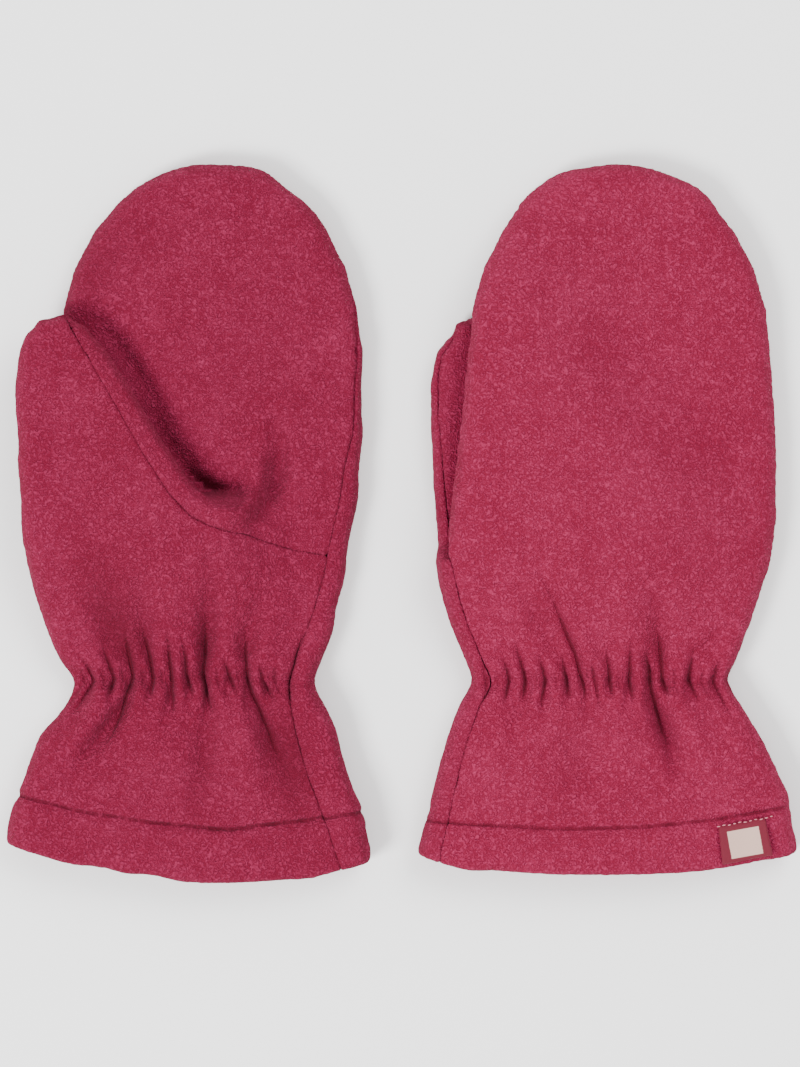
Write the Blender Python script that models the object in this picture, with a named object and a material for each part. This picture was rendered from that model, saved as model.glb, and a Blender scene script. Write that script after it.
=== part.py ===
"""A pair of child's fleece mittens, laid flat: left one palm up, right one back up.

Each mitten is cut as three pieces, as a maker would: a back, an upper palm that
runs down the fingers, folds under the thumb and lines its inner half, and a lower
palm that covers the heel, the thumb's outer half and the cuff. Every piece is a
closed wall of cloth, worked out from the sections below.

All sizes are in millimetres in one plan: x across, y towards the fingertips.
Heights are first measured from the back of the hand up to the palm. The left
mitten keeps them, the right mitten is turned over onto its palm.
"""
import math

import bmesh
import bpy
import numpy as np
from mathutils import Matrix, Vector

MM = 0.001


def table(columns, rows):
    """Rows of numbers as one array for each named column."""
    return dict(zip(columns, np.array(rows, float).T))


WALL = 2.2
HALF = WALL / 2
SEAM_GAP = 0.4
TIP_SEAM_GAP = 0.9
WELD = 0.02
HEM_LAYER = 2.0
HEM_EDGE_ROUND = 0.6
STITCH_SINK = 0.75

# Rows of the hem, counted from its line of stitches or from its lower edge: how far up, and
# how much the wall grows outwards and inwards there, where its turned-in layer lies.
HEM_COLUMNS = ("counted_from", "up", "outwards", "inwards")
HEM_ROWS = [
    ("line", 1.6, 0.0, 0.0),
    ("line", 0.2, -STITCH_SINK, 0.0),
    ("line", -0.9, 0.0, 0.0),
    ("line", -1.6, 0.0, HEM_LAYER),
    ("edge", 2.2, 0.0, HEM_LAYER),
    ("edge", 0.4, -HEM_EDGE_ROUND, HEM_LAYER - HEM_EDGE_ROUND),
]

THUMB_UNDER_RADIUS = 1.65
THUMB_HALF_HEIGHT = 3.6
THUMB_EDGE_REACH = 3.9
FOLD_RISE = 2 * (THUMB_UNDER_RADIUS + THUMB_HALF_HEIGHT)

CAP_Y = 45.0
CAP_ANGLE = math.radians(54)
CAP_ROWS = 4
PALM_ROWS = 7
WRAP_STEPS = 3
TURN_STEPS = 4
RUN_STEPS = 3
FAR_WRAP_STEPS = 5
FAR_FOLD_Y = 3.0
CUFF_TOP_Y = -20.0
SEAM_END_Y = -8.6
HEEL_ROWS = [-9.5, -7.0, -4.5]
LEAST_LIFT = 0.3
NEAR_SHARE = 26.0
NEAR_FOLD_Y = -4.0
NEAR_THUMB_Y = -2.0
FAR_EDGE_Y = 2.0
TURN_SHARE = 0.7
UPPER_LEAN_PLACE = 5.0
SLOPE_STEP = 0.5
LOW_CLOTH = 1.0
LEAST_TURN = 0.01
LEAST_RISE = 0.05
LEAST_UP = 0.05
FULL_CURL = 3.1
THUMB_JUNCTION_LEAD = 1.5
THUMB_MIDDLE = 10.0
HEEL_SIDE_Y = -12.0
HEEL_SIDE_SPAN = 8.0
FINGER_EDGE_Y = -30.0
CLOTH_ROUGHNESS = 0.95
LEVEL_BACK_COLUMNS = 10

# How round the fingertips' rows, the palm's crown and the gathers are.
CAP_POWER = 1.6
CROWN_POWER = 0.7
RIDGE_POWER = 0.7

# A fold grows from before its start, over one share of its length, and fades past its end.
FOLD_BEFORE = 0.1
FOLD_START = 0.25
FOLD_AFTER = 1.15
FOLD_STOP = 0.6

# Shares of the way down from the lower palm's upper edge to its foot, a row for each.
FAN_SHARES = [0, 0.14, 0.28, 0.41, 0.53, 0.66, 0.765, 0.84, 0.915, 1]
CAP_HALF_WIDTH = 40.1
CAP_HEIGHT = 50.3
CROWN = 1.4
JUNCTION_Y = -7.0
JUNCTION_SPAN = 5.0
SIDE_SQUASH = 0.85
SEAM_CLEARANCE = 0.4

# Ways out of the cloth at a point: worked out from its faces, or level up or down.
NO_NORMAL = (0.0, 0.0, 0.0)
LEVEL_UP = (0.0, 0.0, 1.0)
LEVEL_DOWN = (0.0, 0.0, -1.0)

GATHER_DEPTH = 2.3
GATHER_REACH = 4.6
FINE_REACH = 19.0
ROWS_FROM_ELASTIC = [3.0, 6.5, 11.0, 17.0, 24.0]
LAST_BACK_ROW = 31.5
ELASTIC_SINK = 0.5

# Body outline, a row for each section: its height at the middle of the row,
# then the end on the thumb side and the end on the little finger's side.
SECTION_COLUMNS = ("mid_y", "near_x", "near_y", "far_x", "far_y")
LEFT_SECTIONS = table(SECTION_COLUMNS, [
    (-95.3, -103.9, -85.7, -8.4, -90.8),
    (-81.0, -101.4, -72.9, -10.3, -77.0),
    (-63.9, -95.6, -58.3, -15.2, -61.0),
    (-51.8, -88.6, -48.6, -19.4, -49.0),
    (-44.8, -86.3, -42.0, -22.2, -42.3),
    (-38.8, -89.5, -37.2, -20.6, -36.8),
    (-25.6, -94.5, -25.3, -17.6, -25.3),
    (-7.8, -98.9, -7.8, -13.7, -7.8),
    (2.1, -100.0, 2.1, -11.9, 2.1),
    (23.8, -101.0, 23.8, -10.0, 23.8),
    (45.0, -100.6, 45.0, -9.9, 45.0),
])
RIGHT_SECTIONS = table(SECTION_COLUMNS, [
    (-93.3, 5.8, -87.4, 104.4, -87.0),
    (-81.1, 7.6, -76.5, 103.3, -75.3),
    (-63.5, 12.2, -58.8, 97.5, -59.0),
    (-51.4, 16.2, -47.8, 91.5, -49.0),
    (-44.4, 19.4, -41.5, 87.5, -41.7),
    (-38.6, 17.6, -36.4, 89.4, -37.0),
    (-25.6, 13.1, -25.4, 93.8, -25.4),
    (-10.8, 9.6, -10.8, 97.8, -10.8),
    (2.2, 8.9, 2.2, 99.6, 2.2),
    (17.0, 9.0, 17.0, 100.2, 17.0),
    (45.0, 10.0, 45.0, 98.6, 45.0),
])

# Edge of the finger part on the thumb side, above the thumb's fold.
EDGE_COLUMNS = ("y", "x")
LEFT_FINGER_EDGE = table(EDGE_COLUMNS, [
    (-14.0, -95.6), (-5.0, -95.3), (12.0, -94.9), (30.0, -92.8), (45.0, -90.1),
])
RIGHT_FINGER_EDGE = table(EDGE_COLUMNS, [
    (-14.0, 12.6), (-5.0, 13.0), (10.0, 14.6), (30.0, 17.0), (45.0, 18.3),
])

# Half height of the rounded sides along the mitten, by mid_y.
SIDE_COLUMNS = ("mid_y", "half_height")
SIDE_HALF_HEIGHTS = table(SIDE_COLUMNS, [
    (-95.0, 5.4), (-81.0, 5.1), (-64.0, 4.6), (-45.0, 4.3), (-25.0, 3.9), (10.0, 3.6), (60.0, 3.5),
])

# How far the little finger's seam lies in from the outline, on the palm.
SEAM_COLUMNS = ("mid_y", "inset")
LEFT_FAR_SEAM = table(SEAM_COLUMNS, [
    (-95.0, 6.9), (-81.0, 9.4), (-66.0, 10.4), (-52.0, 9.0), (-44.8, 7.0), (-36.0, 7.0),
    (-20.0, 5.4), (-4.0, 5.0), (10.0, 4.4), (28.0, 2.6), (45.0, 2.2),
    (60.0, 1.2), (72.0, 0.3), (80.0, 0.0),
])
RIGHT_FAR_SEAM = table(SEAM_COLUMNS, [
    (-95.0, 6.9), (-81.0, 7.2), (-66.0, 6.8), (-52.0, 6.0), (-44.8, 4.6), (-30.0, 1.6),
    (-18.0, 0.8), (10.0, 0.6), (45.0, 0.6), (70.0, 0.3), (80.0, 0.0),
])

# The thumb, measured from the outermost point of its outer side.
THUMB_OUTER_COLUMNS = ("y", "x")
THUMB_OUTER = table(THUMB_OUTER_COLUMNS, [
    (-8.0, 2.3), (2.0, 1.4), (12.0, 0.7), (24.0, 0.2), (35.0, 0.0), (42.0, 0.5), (47.0, 1.7),
])
THUMB_EDGE_COLUMNS = ("x", "y", "curl")
THUMB_EDGE = table(THUMB_EDGE_COLUMNS, [
    (1.5, 47.0, 35), (4.0, 53.0, 60), (7.4, 55.5, 78), (11.0, 56.1, 95), (14.6, 55.0, 130), (19.4, 51.4, 166),
    (24.7, 45.1, 180), (29.8, 37.3, 180), (34.9, 28.9, 180), (41.7, 17.6, 180), (48.1, 9.6, 180),
    (52.0, 6.6, 180), (56.5, 5.2, 180), (62.0, 3.9, 180), (72.0, 2.2, 180), (92.0, 0.5, 180),
])
RIM_COLUMNS = ("x", "y", "out_x", "out_y", "curl")
THUMB_SEAM_COLUMNS = ("x", "y")
THUMB_SEAM = table(THUMB_SEAM_COLUMNS, [
    (16.4, 49.0), (24.2, 36.0), (31.6, 22.8), (39.6, 9.6), (47.2, 1.5), (51.6, -0.6),
    (55.7, -2.0), (60.4, -2.9), (65.0, -4.6), (73.5, -7.2), (82.0, -8.5), (92.0, -8.9),
])
THUMB_FOLD_COLUMNS = ("x", "y")
THUMB_FOLD = table(THUMB_FOLD_COLUMNS, [
    (3.0, -3.6), (12.0, -2.2), (24.0, 0.6), (36.0, 4.0), (46.0, 7.6), (54.0, 9.8), (60.0, 10.2),
    (68.0, 8.5), (92.0, 2.0),
])
# Places across where both palm pieces have a column at their seam, thumb's edge first.
SEAM_PLACES = [7.0, 8.8, 11.6, 15.4, 20.5, 27.0, 34.0, 41.0, 47.0, 52.0, 56.0, 60.5, 66.0, 73.0]
# How far round the thumb's outer side the seam lies.
THUMB_INSET_COLUMNS = ("y", "inset")
THUMB_SEAM_INSETS = table(THUMB_INSET_COLUMNS, [(-6.0, 3.7), (24.0, 2.9), (38.0, 2.1), (50.0, 2.0)])
CROTCH_START = 52.0
CROTCH_END = 75.0
HEEL_TOP = 3.0
HEEL_FOOT = -40.0

# The turned mitten's back comes down beside the thumb under it over this width, from an edge
# that leans with the thumb between two heights, and at the fingertips.
SPREAD_WIDTH = 40.0
SPREAD_LEAN = 0.78
SPREAD_LEAN_Y = 7.0
SPREAD_LEAN_REACH = 46.0
SPREAD_TOP_Y = 94.0
SPREAD_TOP_REACH = 44.0

# Valleys of the gathers along the elastic, as places across the front sheet.
LEFT_VALLEYS = [-82.0, -76.2, -70.8, -66.2, -60.9, -55.9, -50.8, -45.3, -40.2, -34.7, -29.2]
RIGHT_VALLEYS = [22.4, 28.6, 33.0, 38.4, 43.4, 49.3, 54.5, 60.2, 65.5, 70.6, 76.6, 83.6]

# Long soft folds that run out from the elastic into the palm and the cuff.
FOLD_COLUMNS = ("x0", "y0", "x1", "y1", "depth", "width")
LEFT_FOLDS = table(FOLD_COLUMNS, [
    (-51.6, -43.0, -49.2, -19.0, 1.5, 3.0), (-71.5, -42.0, -73.8, -24.0, 0.9, 2.6),
    (-61.8, -42.0, -62.0, -28.0, 0.9, 2.4), (-41.8, -42.0, -37.5, -25.5, 1.0, 2.6),
    (-81.0, -42.0, -85.5, -30.5, 0.8, 2.4), (-81.0, -45.5, -89.5, -52.5, 1.3, 2.0),
    (-71.5, -45.0, -85.0, -65.5, 1.6, 2.8), (-60.9, -46.0, -62.6, -58.5, 1.1, 2.4),
    (-55.8, -46.0, -56.4, -58.0, 0.8, 2.2), (-50.2, -45.0, -51.8, -67.5, 1.4, 2.8),
    (-40.0, -45.0, -32.0, -64.0, 1.5, 2.8), (-34.6, -45.0, -30.6, -53.0, 0.8, 2.2),
    (-38.0, 29.0, -33.6, 14.0, 0.8, 2.6), (-33.2, 17.0, -37.0, 3.0, 1.2, 2.6),
])
RIGHT_FOLDS = table(FOLD_COLUMNS, [
    (43.0, -38.0, 33.0, -21.5, 1.3, 2.8), (35.6, -41.5, 31.2, -33.5, 0.8, 2.2),
    (49.0, -43.0, 45.2, -36.0, 0.7, 2.4), (67.0, -40.0, 68.5, -25.5, 1.0, 2.8),
    (54.0, -42.0, 53.0, -33.0, 0.8, 2.4), (79.0, -41.0, 84.5, -28.0, 0.8, 2.6),
    (49.0, -45.0, 52.8, -57.5, 1.1, 2.6), (65.4, -45.0, 70.6, -61.0, 1.6, 2.8),
    (81.0, -44.0, 87.0, -54.5, 1.2, 2.6), (32.8, -45.0, 30.0, -54.0, 0.9, 2.4),
    (38.6, -45.0, 38.4, -52.0, 0.7, 2.2), (59.0, -45.0, 60.5, -55.0, 0.8, 2.4),
])

LABEL_THICKNESS = 0.7
LABEL_TOP_ENDS = (84.4, 96.6)
LABEL_FOOT_ENDS = (85.5, 98.2)
LABEL_TOP_DROP = 0.6
LABEL_FOOT_RISE = 1.4
LABEL_ROWS = 4
LABEL_STEPS = 5

LEFT = {
    "name": "left", "turned": False, "sections": LEFT_SECTIONS, "finger_edge": LEFT_FINGER_EDGE,
    "far_seam": LEFT_FAR_SEAM, "cap_x": -50.0, "thumb_x": -101.4, "bow": 2.0,
    "valleys": LEFT_VALLEYS, "folds": LEFT_FOLDS, "elastic_y": -44.8, "hem_line_y": -81.0,
}
RIGHT = {
    "name": "right", "turned": True, "sections": RIGHT_SECTIONS, "finger_edge": RIGHT_FINGER_EDGE,
    "far_seam": RIGHT_FAR_SEAM, "cap_x": 58.45, "thumb_x": 8.4, "bow": 3.0,
    "valleys": RIGHT_VALLEYS, "folds": RIGHT_FOLDS, "elastic_y": -44.4, "hem_line_y": -81.1,
}

COLOURS = {
    "left_back": (0.46, 0.048, 0.105), "left_palm_upper": (0.48, 0.050, 0.110),
    "left_palm_lower": (0.50, 0.054, 0.115), "right_back": (0.50, 0.054, 0.115),
    "right_palm_upper": (0.46, 0.048, 0.105), "right_palm_lower": (0.48, 0.050, 0.110),
    "right_label": (0.30, 0.025, 0.060),
}


def clear_scene():
    """Remove the objects of the start file."""
    for obj in list(bpy.data.objects):
        bpy.data.objects.remove(obj, do_unlink=True)


def smooth_step(value):
    """Ease from 0 to 1."""
    t = min(max(value, 0.0), 1.0)
    return t * t * (3 - 2 * t)


def mix(a, b, t):
    """Straight blend of two values."""
    return a + (b - a) * t


def read_curve(rows, where, column):
    """Smooth curve through a table's rows, read at one place in its first column."""
    keys = next(iter(rows.values()))
    values = rows[column]
    if where <= keys[0]:
        return float(values[0])
    if where >= keys[-1]:
        return float(values[-1])
    slopes = np.gradient(values, keys)
    k = int(np.searchsorted(keys, where) - 1)
    span = keys[k + 1] - keys[k]
    t = (where - keys[k]) / span
    h00 = 2 * t**3 - 3 * t**2 + 1
    h10 = t**3 - 2 * t**2 + t
    h01 = -2 * t**3 + 3 * t**2
    h11 = t**3 - t**2
    start = h00 * values[k] + h10 * span * slopes[k]
    return float(start + h01 * values[k + 1] + h11 * span * slopes[k + 1])


def read_section(mitten, mid_y):
    """Ends of one row across the mitten, moved in to the middle of the wall."""
    near_x, near_y, far_x, far_y = (
        read_curve(mitten["sections"], mid_y, column) for column in SECTION_COLUMNS[1:]
    )
    return near_x + HALF, near_y, far_x - HALF, far_y


def row_y(mitten, mid_y, x):
    """Height in plan of a row at x: rows of the cuff hang down in the middle."""
    near_x, near_y, far_x, far_y = read_section(mitten, mid_y)
    u = min(max((x - near_x) / (far_x - near_x), 0.0), 1.0)
    chord = mix(near_y, far_y, u)
    sag = (near_y + far_y) / 2 - mid_y
    return chord - sag * (1 - abs(2 * u - 1) ** mitten["bow"])


def mid_of(mitten, x, y):
    """The row that passes through a point, named by its height at the middle."""
    mid_y = y
    if y > CUFF_TOP_Y:
        return mid_y
    for _ in range(5):
        mid_y += y - row_y(mitten, mid_y, x)
    return mid_y


def side_reach(mid_y):
    """How far in from the outline a side begins to round away."""
    return SIDE_SQUASH * side_half(mid_y)


def side_half(mid_y):
    """Half height of the rounded side at a row."""
    return read_curve(SIDE_HALF_HEIGHTS, mid_y, "half_height")


def finger_edge(mitten, y):
    """Middle of the wall at the finger part's edge on the thumb side."""
    return read_curve(mitten["finger_edge"], y, "x") + HALF


def palm_height(mitten, x, y):
    """Middle of the palm's wall over the back, with a slight crown."""
    mid_y = mid_of(mitten, x, y)
    if y > CAP_Y:
        across = (x - mitten["cap_x"]) / CAP_HALF_WIDTH
        along = (y - CAP_Y) / CAP_HEIGHT
        reach = across * across + along * along
    else:
        near_x, _, far_x, _ = read_section(mitten, mid_y)
        near_x = mix(near_x, finger_edge(mitten, y), smooth_step((y - FINGER_EDGE_Y) / -FINGER_EDGE_Y))
        reach = (2 * (x - near_x) / (far_x - near_x) - 1) ** 2
    crown = CROWN * max(1 - reach, 0.0) ** CROWN_POWER
    return HALF + 2 * side_half(mid_y) + crown


def thumb_rise(mitten, x, y):
    """How far the lower palm stands over the flat palm: the thumb and its root."""
    u = x - mitten["thumb_x"]
    across = 1 - smooth_step((u - CROTCH_START) / (CROTCH_END - CROTCH_START))
    along = smooth_step((y - HEEL_FOOT) / (HEEL_TOP - HEEL_FOOT))
    return FOLD_RISE * across * along


def spread_rise(mitten, x, y):
    """How far the turned mitten's back is lifted by the thumb that lies under it."""
    up = min(max(y - SPREAD_LEAN_Y, 0.0), SPREAD_LEAN_REACH)
    edge = mitten["thumb_x"] + CROTCH_START - SPREAD_LEAN * up
    across = 1 - smooth_step((x - edge) / SPREAD_WIDTH)
    along = smooth_step((y - HEEL_FOOT) / (HEEL_TOP - HEEL_FOOT))
    tip = smooth_step((SPREAD_TOP_Y - y) / SPREAD_TOP_REACH)
    return FOLD_RISE * across * along * tip


def fold_depth(mitten, x, y):
    """Depth of the long hand-placed folds at a point."""
    depth = 0.0
    for x0, y0, x1, y1, fold, width in zip(*(mitten["folds"][column] for column in FOLD_COLUMNS)):
        length = math.hypot(x1 - x0, y1 - y0)
        along = ((x - x0) * (x1 - x0) + (y - y0) * (y1 - y0)) / length**2
        aside = ((x - x0) * (y1 - y0) - (y - y0) * (x1 - x0)) / length
        fade = smooth_step((along + FOLD_BEFORE) / FOLD_START) * smooth_step((FOLD_AFTER - along) / FOLD_STOP)
        depth += fold * fade * math.exp(-((aside / width) ** 2))
    return depth


def gather_depth(mitten, x, y, ridge):
    """Depth under the ridges at the elastic; ridge is 0 in a valley and 1 on top."""
    offset = y - row_y(mitten, mitten["elastic_y"], x)
    fade = math.exp(-((offset / GATHER_REACH) ** 2))
    return fade * (ELASTIC_SINK + GATHER_DEPTH * (1 - ridge))


def ridge_of(place, valleys):
    """Height of a gather between its two valleys, from 0 to 1."""
    for a, b in zip(valleys, valleys[1:]):
        if a - 1e-6 <= place <= b + 1e-6:
            t = min(max((place - a) / (b - a), 0.0), 1.0)
            return math.sin(math.pi * t) ** RIDGE_POWER if 0 < t < 1 else 0.0
    return 0.0


class Sheet:
    """The middle surface of one piece of cloth, with the wall's depth on each side."""

    def __init__(self, mitten):
        self.mitten = mitten
        self.points = []
        self.depths = []
        self.normals = []
        self.faces = []

    def top(self, x, y):
        """Height of the turned mitten's back, over the thumb that lies under it."""
        return palm_height(self.mitten, x, y) + HALF + spread_rise(self.mitten, x, y)

    def add(self, x, y, z, depths=(HALF, HALF), normal=NO_NORMAL):
        """Add a point; the turned mitten's heights are counted down from its back."""
        if self.mitten["turned"]:
            over = self.top(x, y)
            slope_x = self.top(x + SLOPE_STEP, y) - self.top(x - SLOPE_STEP, y)
            slope_y = self.top(x, y + SLOPE_STEP) - self.top(x, y - SLOPE_STEP)
            nx, ny, nz = normal
            normal = (nx + slope_x * nz, ny + slope_y * nz, -nz)
            z = over - z
        self.points.append((x, y, z))
        self.depths.append(depths)
        self.normals.append(normal)
        return len(self.points) - 1

    def face(self, *corners):
        """Add a face, dropping corners that fall together."""
        ring = [c for k, c in enumerate(corners) if c != corners[k - 1]]
        if len(set(ring)) > 2:
            self.faces.append(tuple(ring))

    def grid(self, rows):
        """Join rows of point numbers; a short row takes each triangle to its nearest share."""
        for upper, lower in zip(rows, rows[1:]):
            if len(upper) == len(lower):
                for k in range(len(upper) - 1):
                    self.face(upper[k], lower[k], lower[k + 1], upper[k + 1])
                continue
            i = j = 0
            while i < len(upper) - 1 or j < len(lower) - 1:
                next_i = (i + 0.5) / (len(upper) - 1)
                next_j = (j + 0.5) / (len(lower) - 1)
                if j == len(lower) - 1 or (i < len(upper) - 1 and next_i <= next_j):
                    self.face(upper[i], lower[j], upper[i + 1])
                    i += 1
                else:
                    self.face(upper[i], lower[j], lower[j + 1])
                    j += 1


def wrap_angle(inset, reach):
    """How far round a side a seam lies, from the face it is counted on, and any rest."""
    inside = inset - HALF
    if inside >= reach:
        return 0.0, inside - reach
    return math.asin(min(1 - inside / reach, 1.0)), 0.0


def wrap_points(sheet, base, out, reach, lift, turn, rest, sign, steps, depths, row=None, sunk=False):
    """Points round a side: an ellipse of cloth from the base, then flat under it."""
    bx, by, bz = base
    places = []
    for k in range(1, steps + 1):
        a = turn * k / steps
        x = bx + out[0] * reach * math.sin(a)
        y = by + out[1] * reach * math.sin(a)
        z = bz + sign * lift * (1 - math.cos(a))
        lean = math.sin(a) / reach
        places.append((x, y, z, (out[0] * lean, out[1] * lean, -sign * math.cos(a) / lift)))
    if rest > 0:
        x = bx - out[0] * rest
        places.append((x, by, bz + sign * 2 * lift, (0.0, 0.0, sign)))
    ids = []
    for k, (x, y, z, normal) in enumerate(places):
        if row is not None:
            y = row_y(sheet.mitten, row, x)
        if sunk and k == len(places) - 1:
            z -= sign * seam_sink(sheet.mitten, x, y)
        ids.append(sheet.add(x, y, z, depths, normal))
    return ids


def hem_rows(mitten):
    """Rows of the cuff from the elastic to the hem's edge: mid_y, outer and inner depth."""
    elastic = mitten["elastic_y"]
    places = {"line": mitten["hem_line_y"], "edge": mitten["sections"]["mid_y"][0]}
    rows = [(elastic - away, HALF, HALF) for away in ROWS_FROM_ELASTIC]
    for counted_from, up, outwards, inwards in HEM_ROWS:
        rows.append((places[counted_from] + up, HALF + outwards, HALF + inwards))
    return rows


def clean_surface(sheet, up):
    """Weld a sheet's points and turn all its faces one way, its first one up or down."""
    surface = bmesh.new()
    outer_layer = surface.verts.layers.float.new("outer")
    inner_layer = surface.verts.layers.float.new("inner")
    normal_layer = surface.verts.layers.float_vector.new("side")
    corners = []
    for point, (outer, inner), normal in zip(sheet.points, sheet.depths, sheet.normals):
        corner = surface.verts.new(point)
        corner[outer_layer] = outer
        corner[inner_layer] = inner
        corner[normal_layer] = normal
        corners.append(corner)
    for face in sheet.faces:
        surface.faces.new([corners[c] for c in face])
    bmesh.ops.delete(surface, geom=[v for v in surface.verts if not v.link_faces], context="VERTS")
    bmesh.ops.remove_doubles(surface, verts=surface.verts[:], dist=WELD)
    bmesh.ops.recalc_face_normals(surface, faces=surface.faces[:])
    surface.normal_update()
    surface.faces.ensure_lookup_table()
    if (surface.faces[0].normal.z > 0) != up:
        bmesh.ops.reverse_faces(surface, faces=surface.faces[:])
        surface.normal_update()
    for corner in surface.verts:
        known = corner[normal_layer]
        if known.length > 0:
            corner.normal = known.normalized()
    return surface, outer_layer, inner_layer


def wall_mesh(sheet, name, up):
    """Close a sheet into a wall: both faces moved apart along its normals, and its rim."""
    surface, outer_layer, inner_layer = clean_surface(sheet, up)
    surface.verts.index_update()
    count = len(surface.verts)
    outer = [v.co + v.normal * v[outer_layer] for v in surface.verts]
    inner = [v.co - v.normal * v[inner_layer] for v in surface.verts]
    faces = []
    for face in surface.faces:
        ring = [v.index for v in face.verts]
        faces.append(ring)
        faces.append([k + count for k in reversed(ring)])
        for loop in face.loops:
            if loop.edge.is_boundary:
                a = loop.vert.index
                b = loop.link_loop_next.vert.index
                faces.append([b, a, a + count, b + count])
    surface.free()
    mesh = bpy.data.meshes.new(name)
    mesh.from_pydata([p * MM for p in outer + inner], [], faces)
    mesh.update()
    return mesh


def cloth_material(name):
    """Soft matt fleece, or the woven label."""
    material = bpy.data.materials.new(name)
    material.use_nodes = True
    shader = material.node_tree.nodes["Principled BSDF"]
    shader.inputs["Base Color"].default_value = (*COLOURS[name], 1.0)
    shader.inputs["Roughness"].default_value = CLOTH_ROUGHNESS
    shader.inputs["Metallic"].default_value = 0.0
    return material


def add_object(name, mesh):
    """Put one piece in the scene with its own material."""
    obj = bpy.data.objects.new(name, mesh)
    bpy.context.scene.collection.objects.link(obj)
    mesh.materials.append(cloth_material(name))
    return obj


def cap_point(mitten, angle, u):
    """Point of a row round the fingertips, inside the rounded edge."""
    width = CAP_HALF_WIDTH - HALF - side_reach(CAP_Y)
    height = CAP_HEIGHT - HALF - side_reach(CAP_Y)
    share = (angle / CAP_ANGLE) ** CAP_POWER
    across = (2 * u - 1) * math.cos(angle)
    x = mitten["cap_x"] + width * across
    y = CAP_Y + height * (math.sin(angle) * (1 - share) + share * math.sqrt(1 - across * across))
    return x, y


def cap_normal(mitten, x, y):
    """Way out of the fingertip's outline at a point near it."""
    nx = (x - mitten["cap_x"]) / CAP_HALF_WIDTH**2
    ny = max(y - CAP_Y, 0.0) / CAP_HEIGHT**2
    length = math.hypot(nx, ny)
    return nx / length, ny / length


def far_turns(mitten, mid_y):
    """Angle and rest of the little finger's seam, for the palm pieces."""
    inset = read_curve(mitten["far_seam"], mid_y, "inset")
    return wrap_angle(inset, side_reach(mid_y))


def front_columns(mitten, per_gather):
    """Columns across the gathered sheet: valleys and places between them, from 0 to 1."""
    valleys = mitten["valleys"]
    places = []
    for a, b in zip(valleys, valleys[1:]):
        places += [mix(a, b, k / per_gather) for k in range(per_gather)]
    places.append(valleys[-1])
    first, last = valleys[0], valleys[-1]
    return [(p - first) / (last - first) for p in places], [ridge_of(p, valleys) for p in places]


def seam_sink(mitten, x, y):
    """How far a side seam is drawn in where it crosses the elastic or a long fold."""
    return gather_depth(mitten, x, y, 0.0) + fold_depth(mitten, x, y)


def spare(columns, ridges, step):
    """Every column, or every second or third one with both ends kept."""
    pairs = list(zip(columns, ridges))
    kept = pairs[::step]
    if kept[-1] != pairs[-1]:
        kept.append(pairs[-1])
    return kept


def back_columns(mitten):
    """Columns across the back, and how high a gather stands at each."""
    if mitten["turned"]:
        return front_columns(mitten, 3)
    columns = [k / LEVEL_BACK_COLUMNS for k in range(LEVEL_BACK_COLUMNS + 1)]
    return columns, [1.0] * len(columns)


def back_rows(mitten):
    """Rows of the back from the hem's edge to the fingertips' arc: mid_y and both depths."""
    elastic = mitten["elastic_y"]
    palm = [elastic] + [elastic + away for away in ROWS_FROM_ELASTIC]
    palm += [elastic + LAST_BACK_ROW] + HEEL_ROWS
    palm += [float(y) for y in np.linspace(FAR_FOLD_Y, CAP_Y, PALM_ROWS)]
    return hem_rows(mitten)[::-1] + [(mid_y, HALF, HALF) for mid_y in palm]


def back_step(mitten, mid_y):
    """How many columns of the gathered back are passed over at a row away from the elastic."""
    elastic = mitten["elastic_y"]
    if not mitten["turned"] or abs(mid_y - elastic) <= FINE_REACH:
        return 1
    return 3 if mid_y < elastic else 2


def back_row(sheet, mid_y, depths, shared, span):
    """One level row of the back between its two rolls."""
    mitten = sheet.mitten
    row = []
    for u, ridge in spare(*shared, back_step(mitten, mid_y)):
        x = mix(*span, u)
        y = row_y(mitten, mid_y, x)
        z = HALF
        if mitten["turned"]:
            z += fold_depth(mitten, x, y) + gather_depth(mitten, x, y, ridge)
        side = LEVEL_DOWN if u in (0.0, 1.0) else NO_NORMAL
        row.append(sheet.add(x, y, z, depths, side))
    return row


def back_far_link(sheet, index, mid_y, x, depths):
    """Roll of the back at one row, round to the little finger's seam."""
    mitten = sheet.mitten
    reach = side_reach(mid_y)
    y = row_y(mitten, mid_y, x)
    lift = palm_height(mitten, x, y) - HALF
    turn, rest = far_turns(mitten, mid_y)
    turn = math.pi - turn - (SEAM_GAP / 2 / reach if rest <= 0 else 0.0)
    rest = max(rest - SEAM_GAP / 2, 0.0)
    return [index] + wrap_points(sheet, (x, y, HALF), (1, 0), reach, lift / 2, turn, rest, 1,
                                 FAR_WRAP_STEPS, depths, mid_y, not mitten["turned"])


def back_near_link(sheet, index, mid_y, x, free, depths):
    """Roll of the back at one row, round the finger part's edge above the thumb."""
    mitten = sheet.mitten
    reach = side_reach(mid_y)
    y = row_y(mitten, mid_y, x)
    lift = palm_height(mitten, x, y) - HALF
    turn = (math.pi / 2 - SEAM_GAP / 2 / reach) * free
    return [index] + wrap_points(sheet, (x, y, HALF), (-1, 0), reach, lift / 2, turn, 0, 1,
                                 WRAP_STEPS, depths, mid_y)


def back_roll(sheet, index, place, steps, turn):
    """Roll of the back at a point of the fingertips' edge."""
    x, y = place
    lift = palm_height(sheet.mitten, x, y) - HALF
    return [index] + wrap_points(sheet, (x, y, HALF), cap_normal(sheet.mitten, x, y),
                                 side_reach(CAP_Y), lift / 2, turn, 0, 1, steps, (HALF, HALF))


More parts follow.
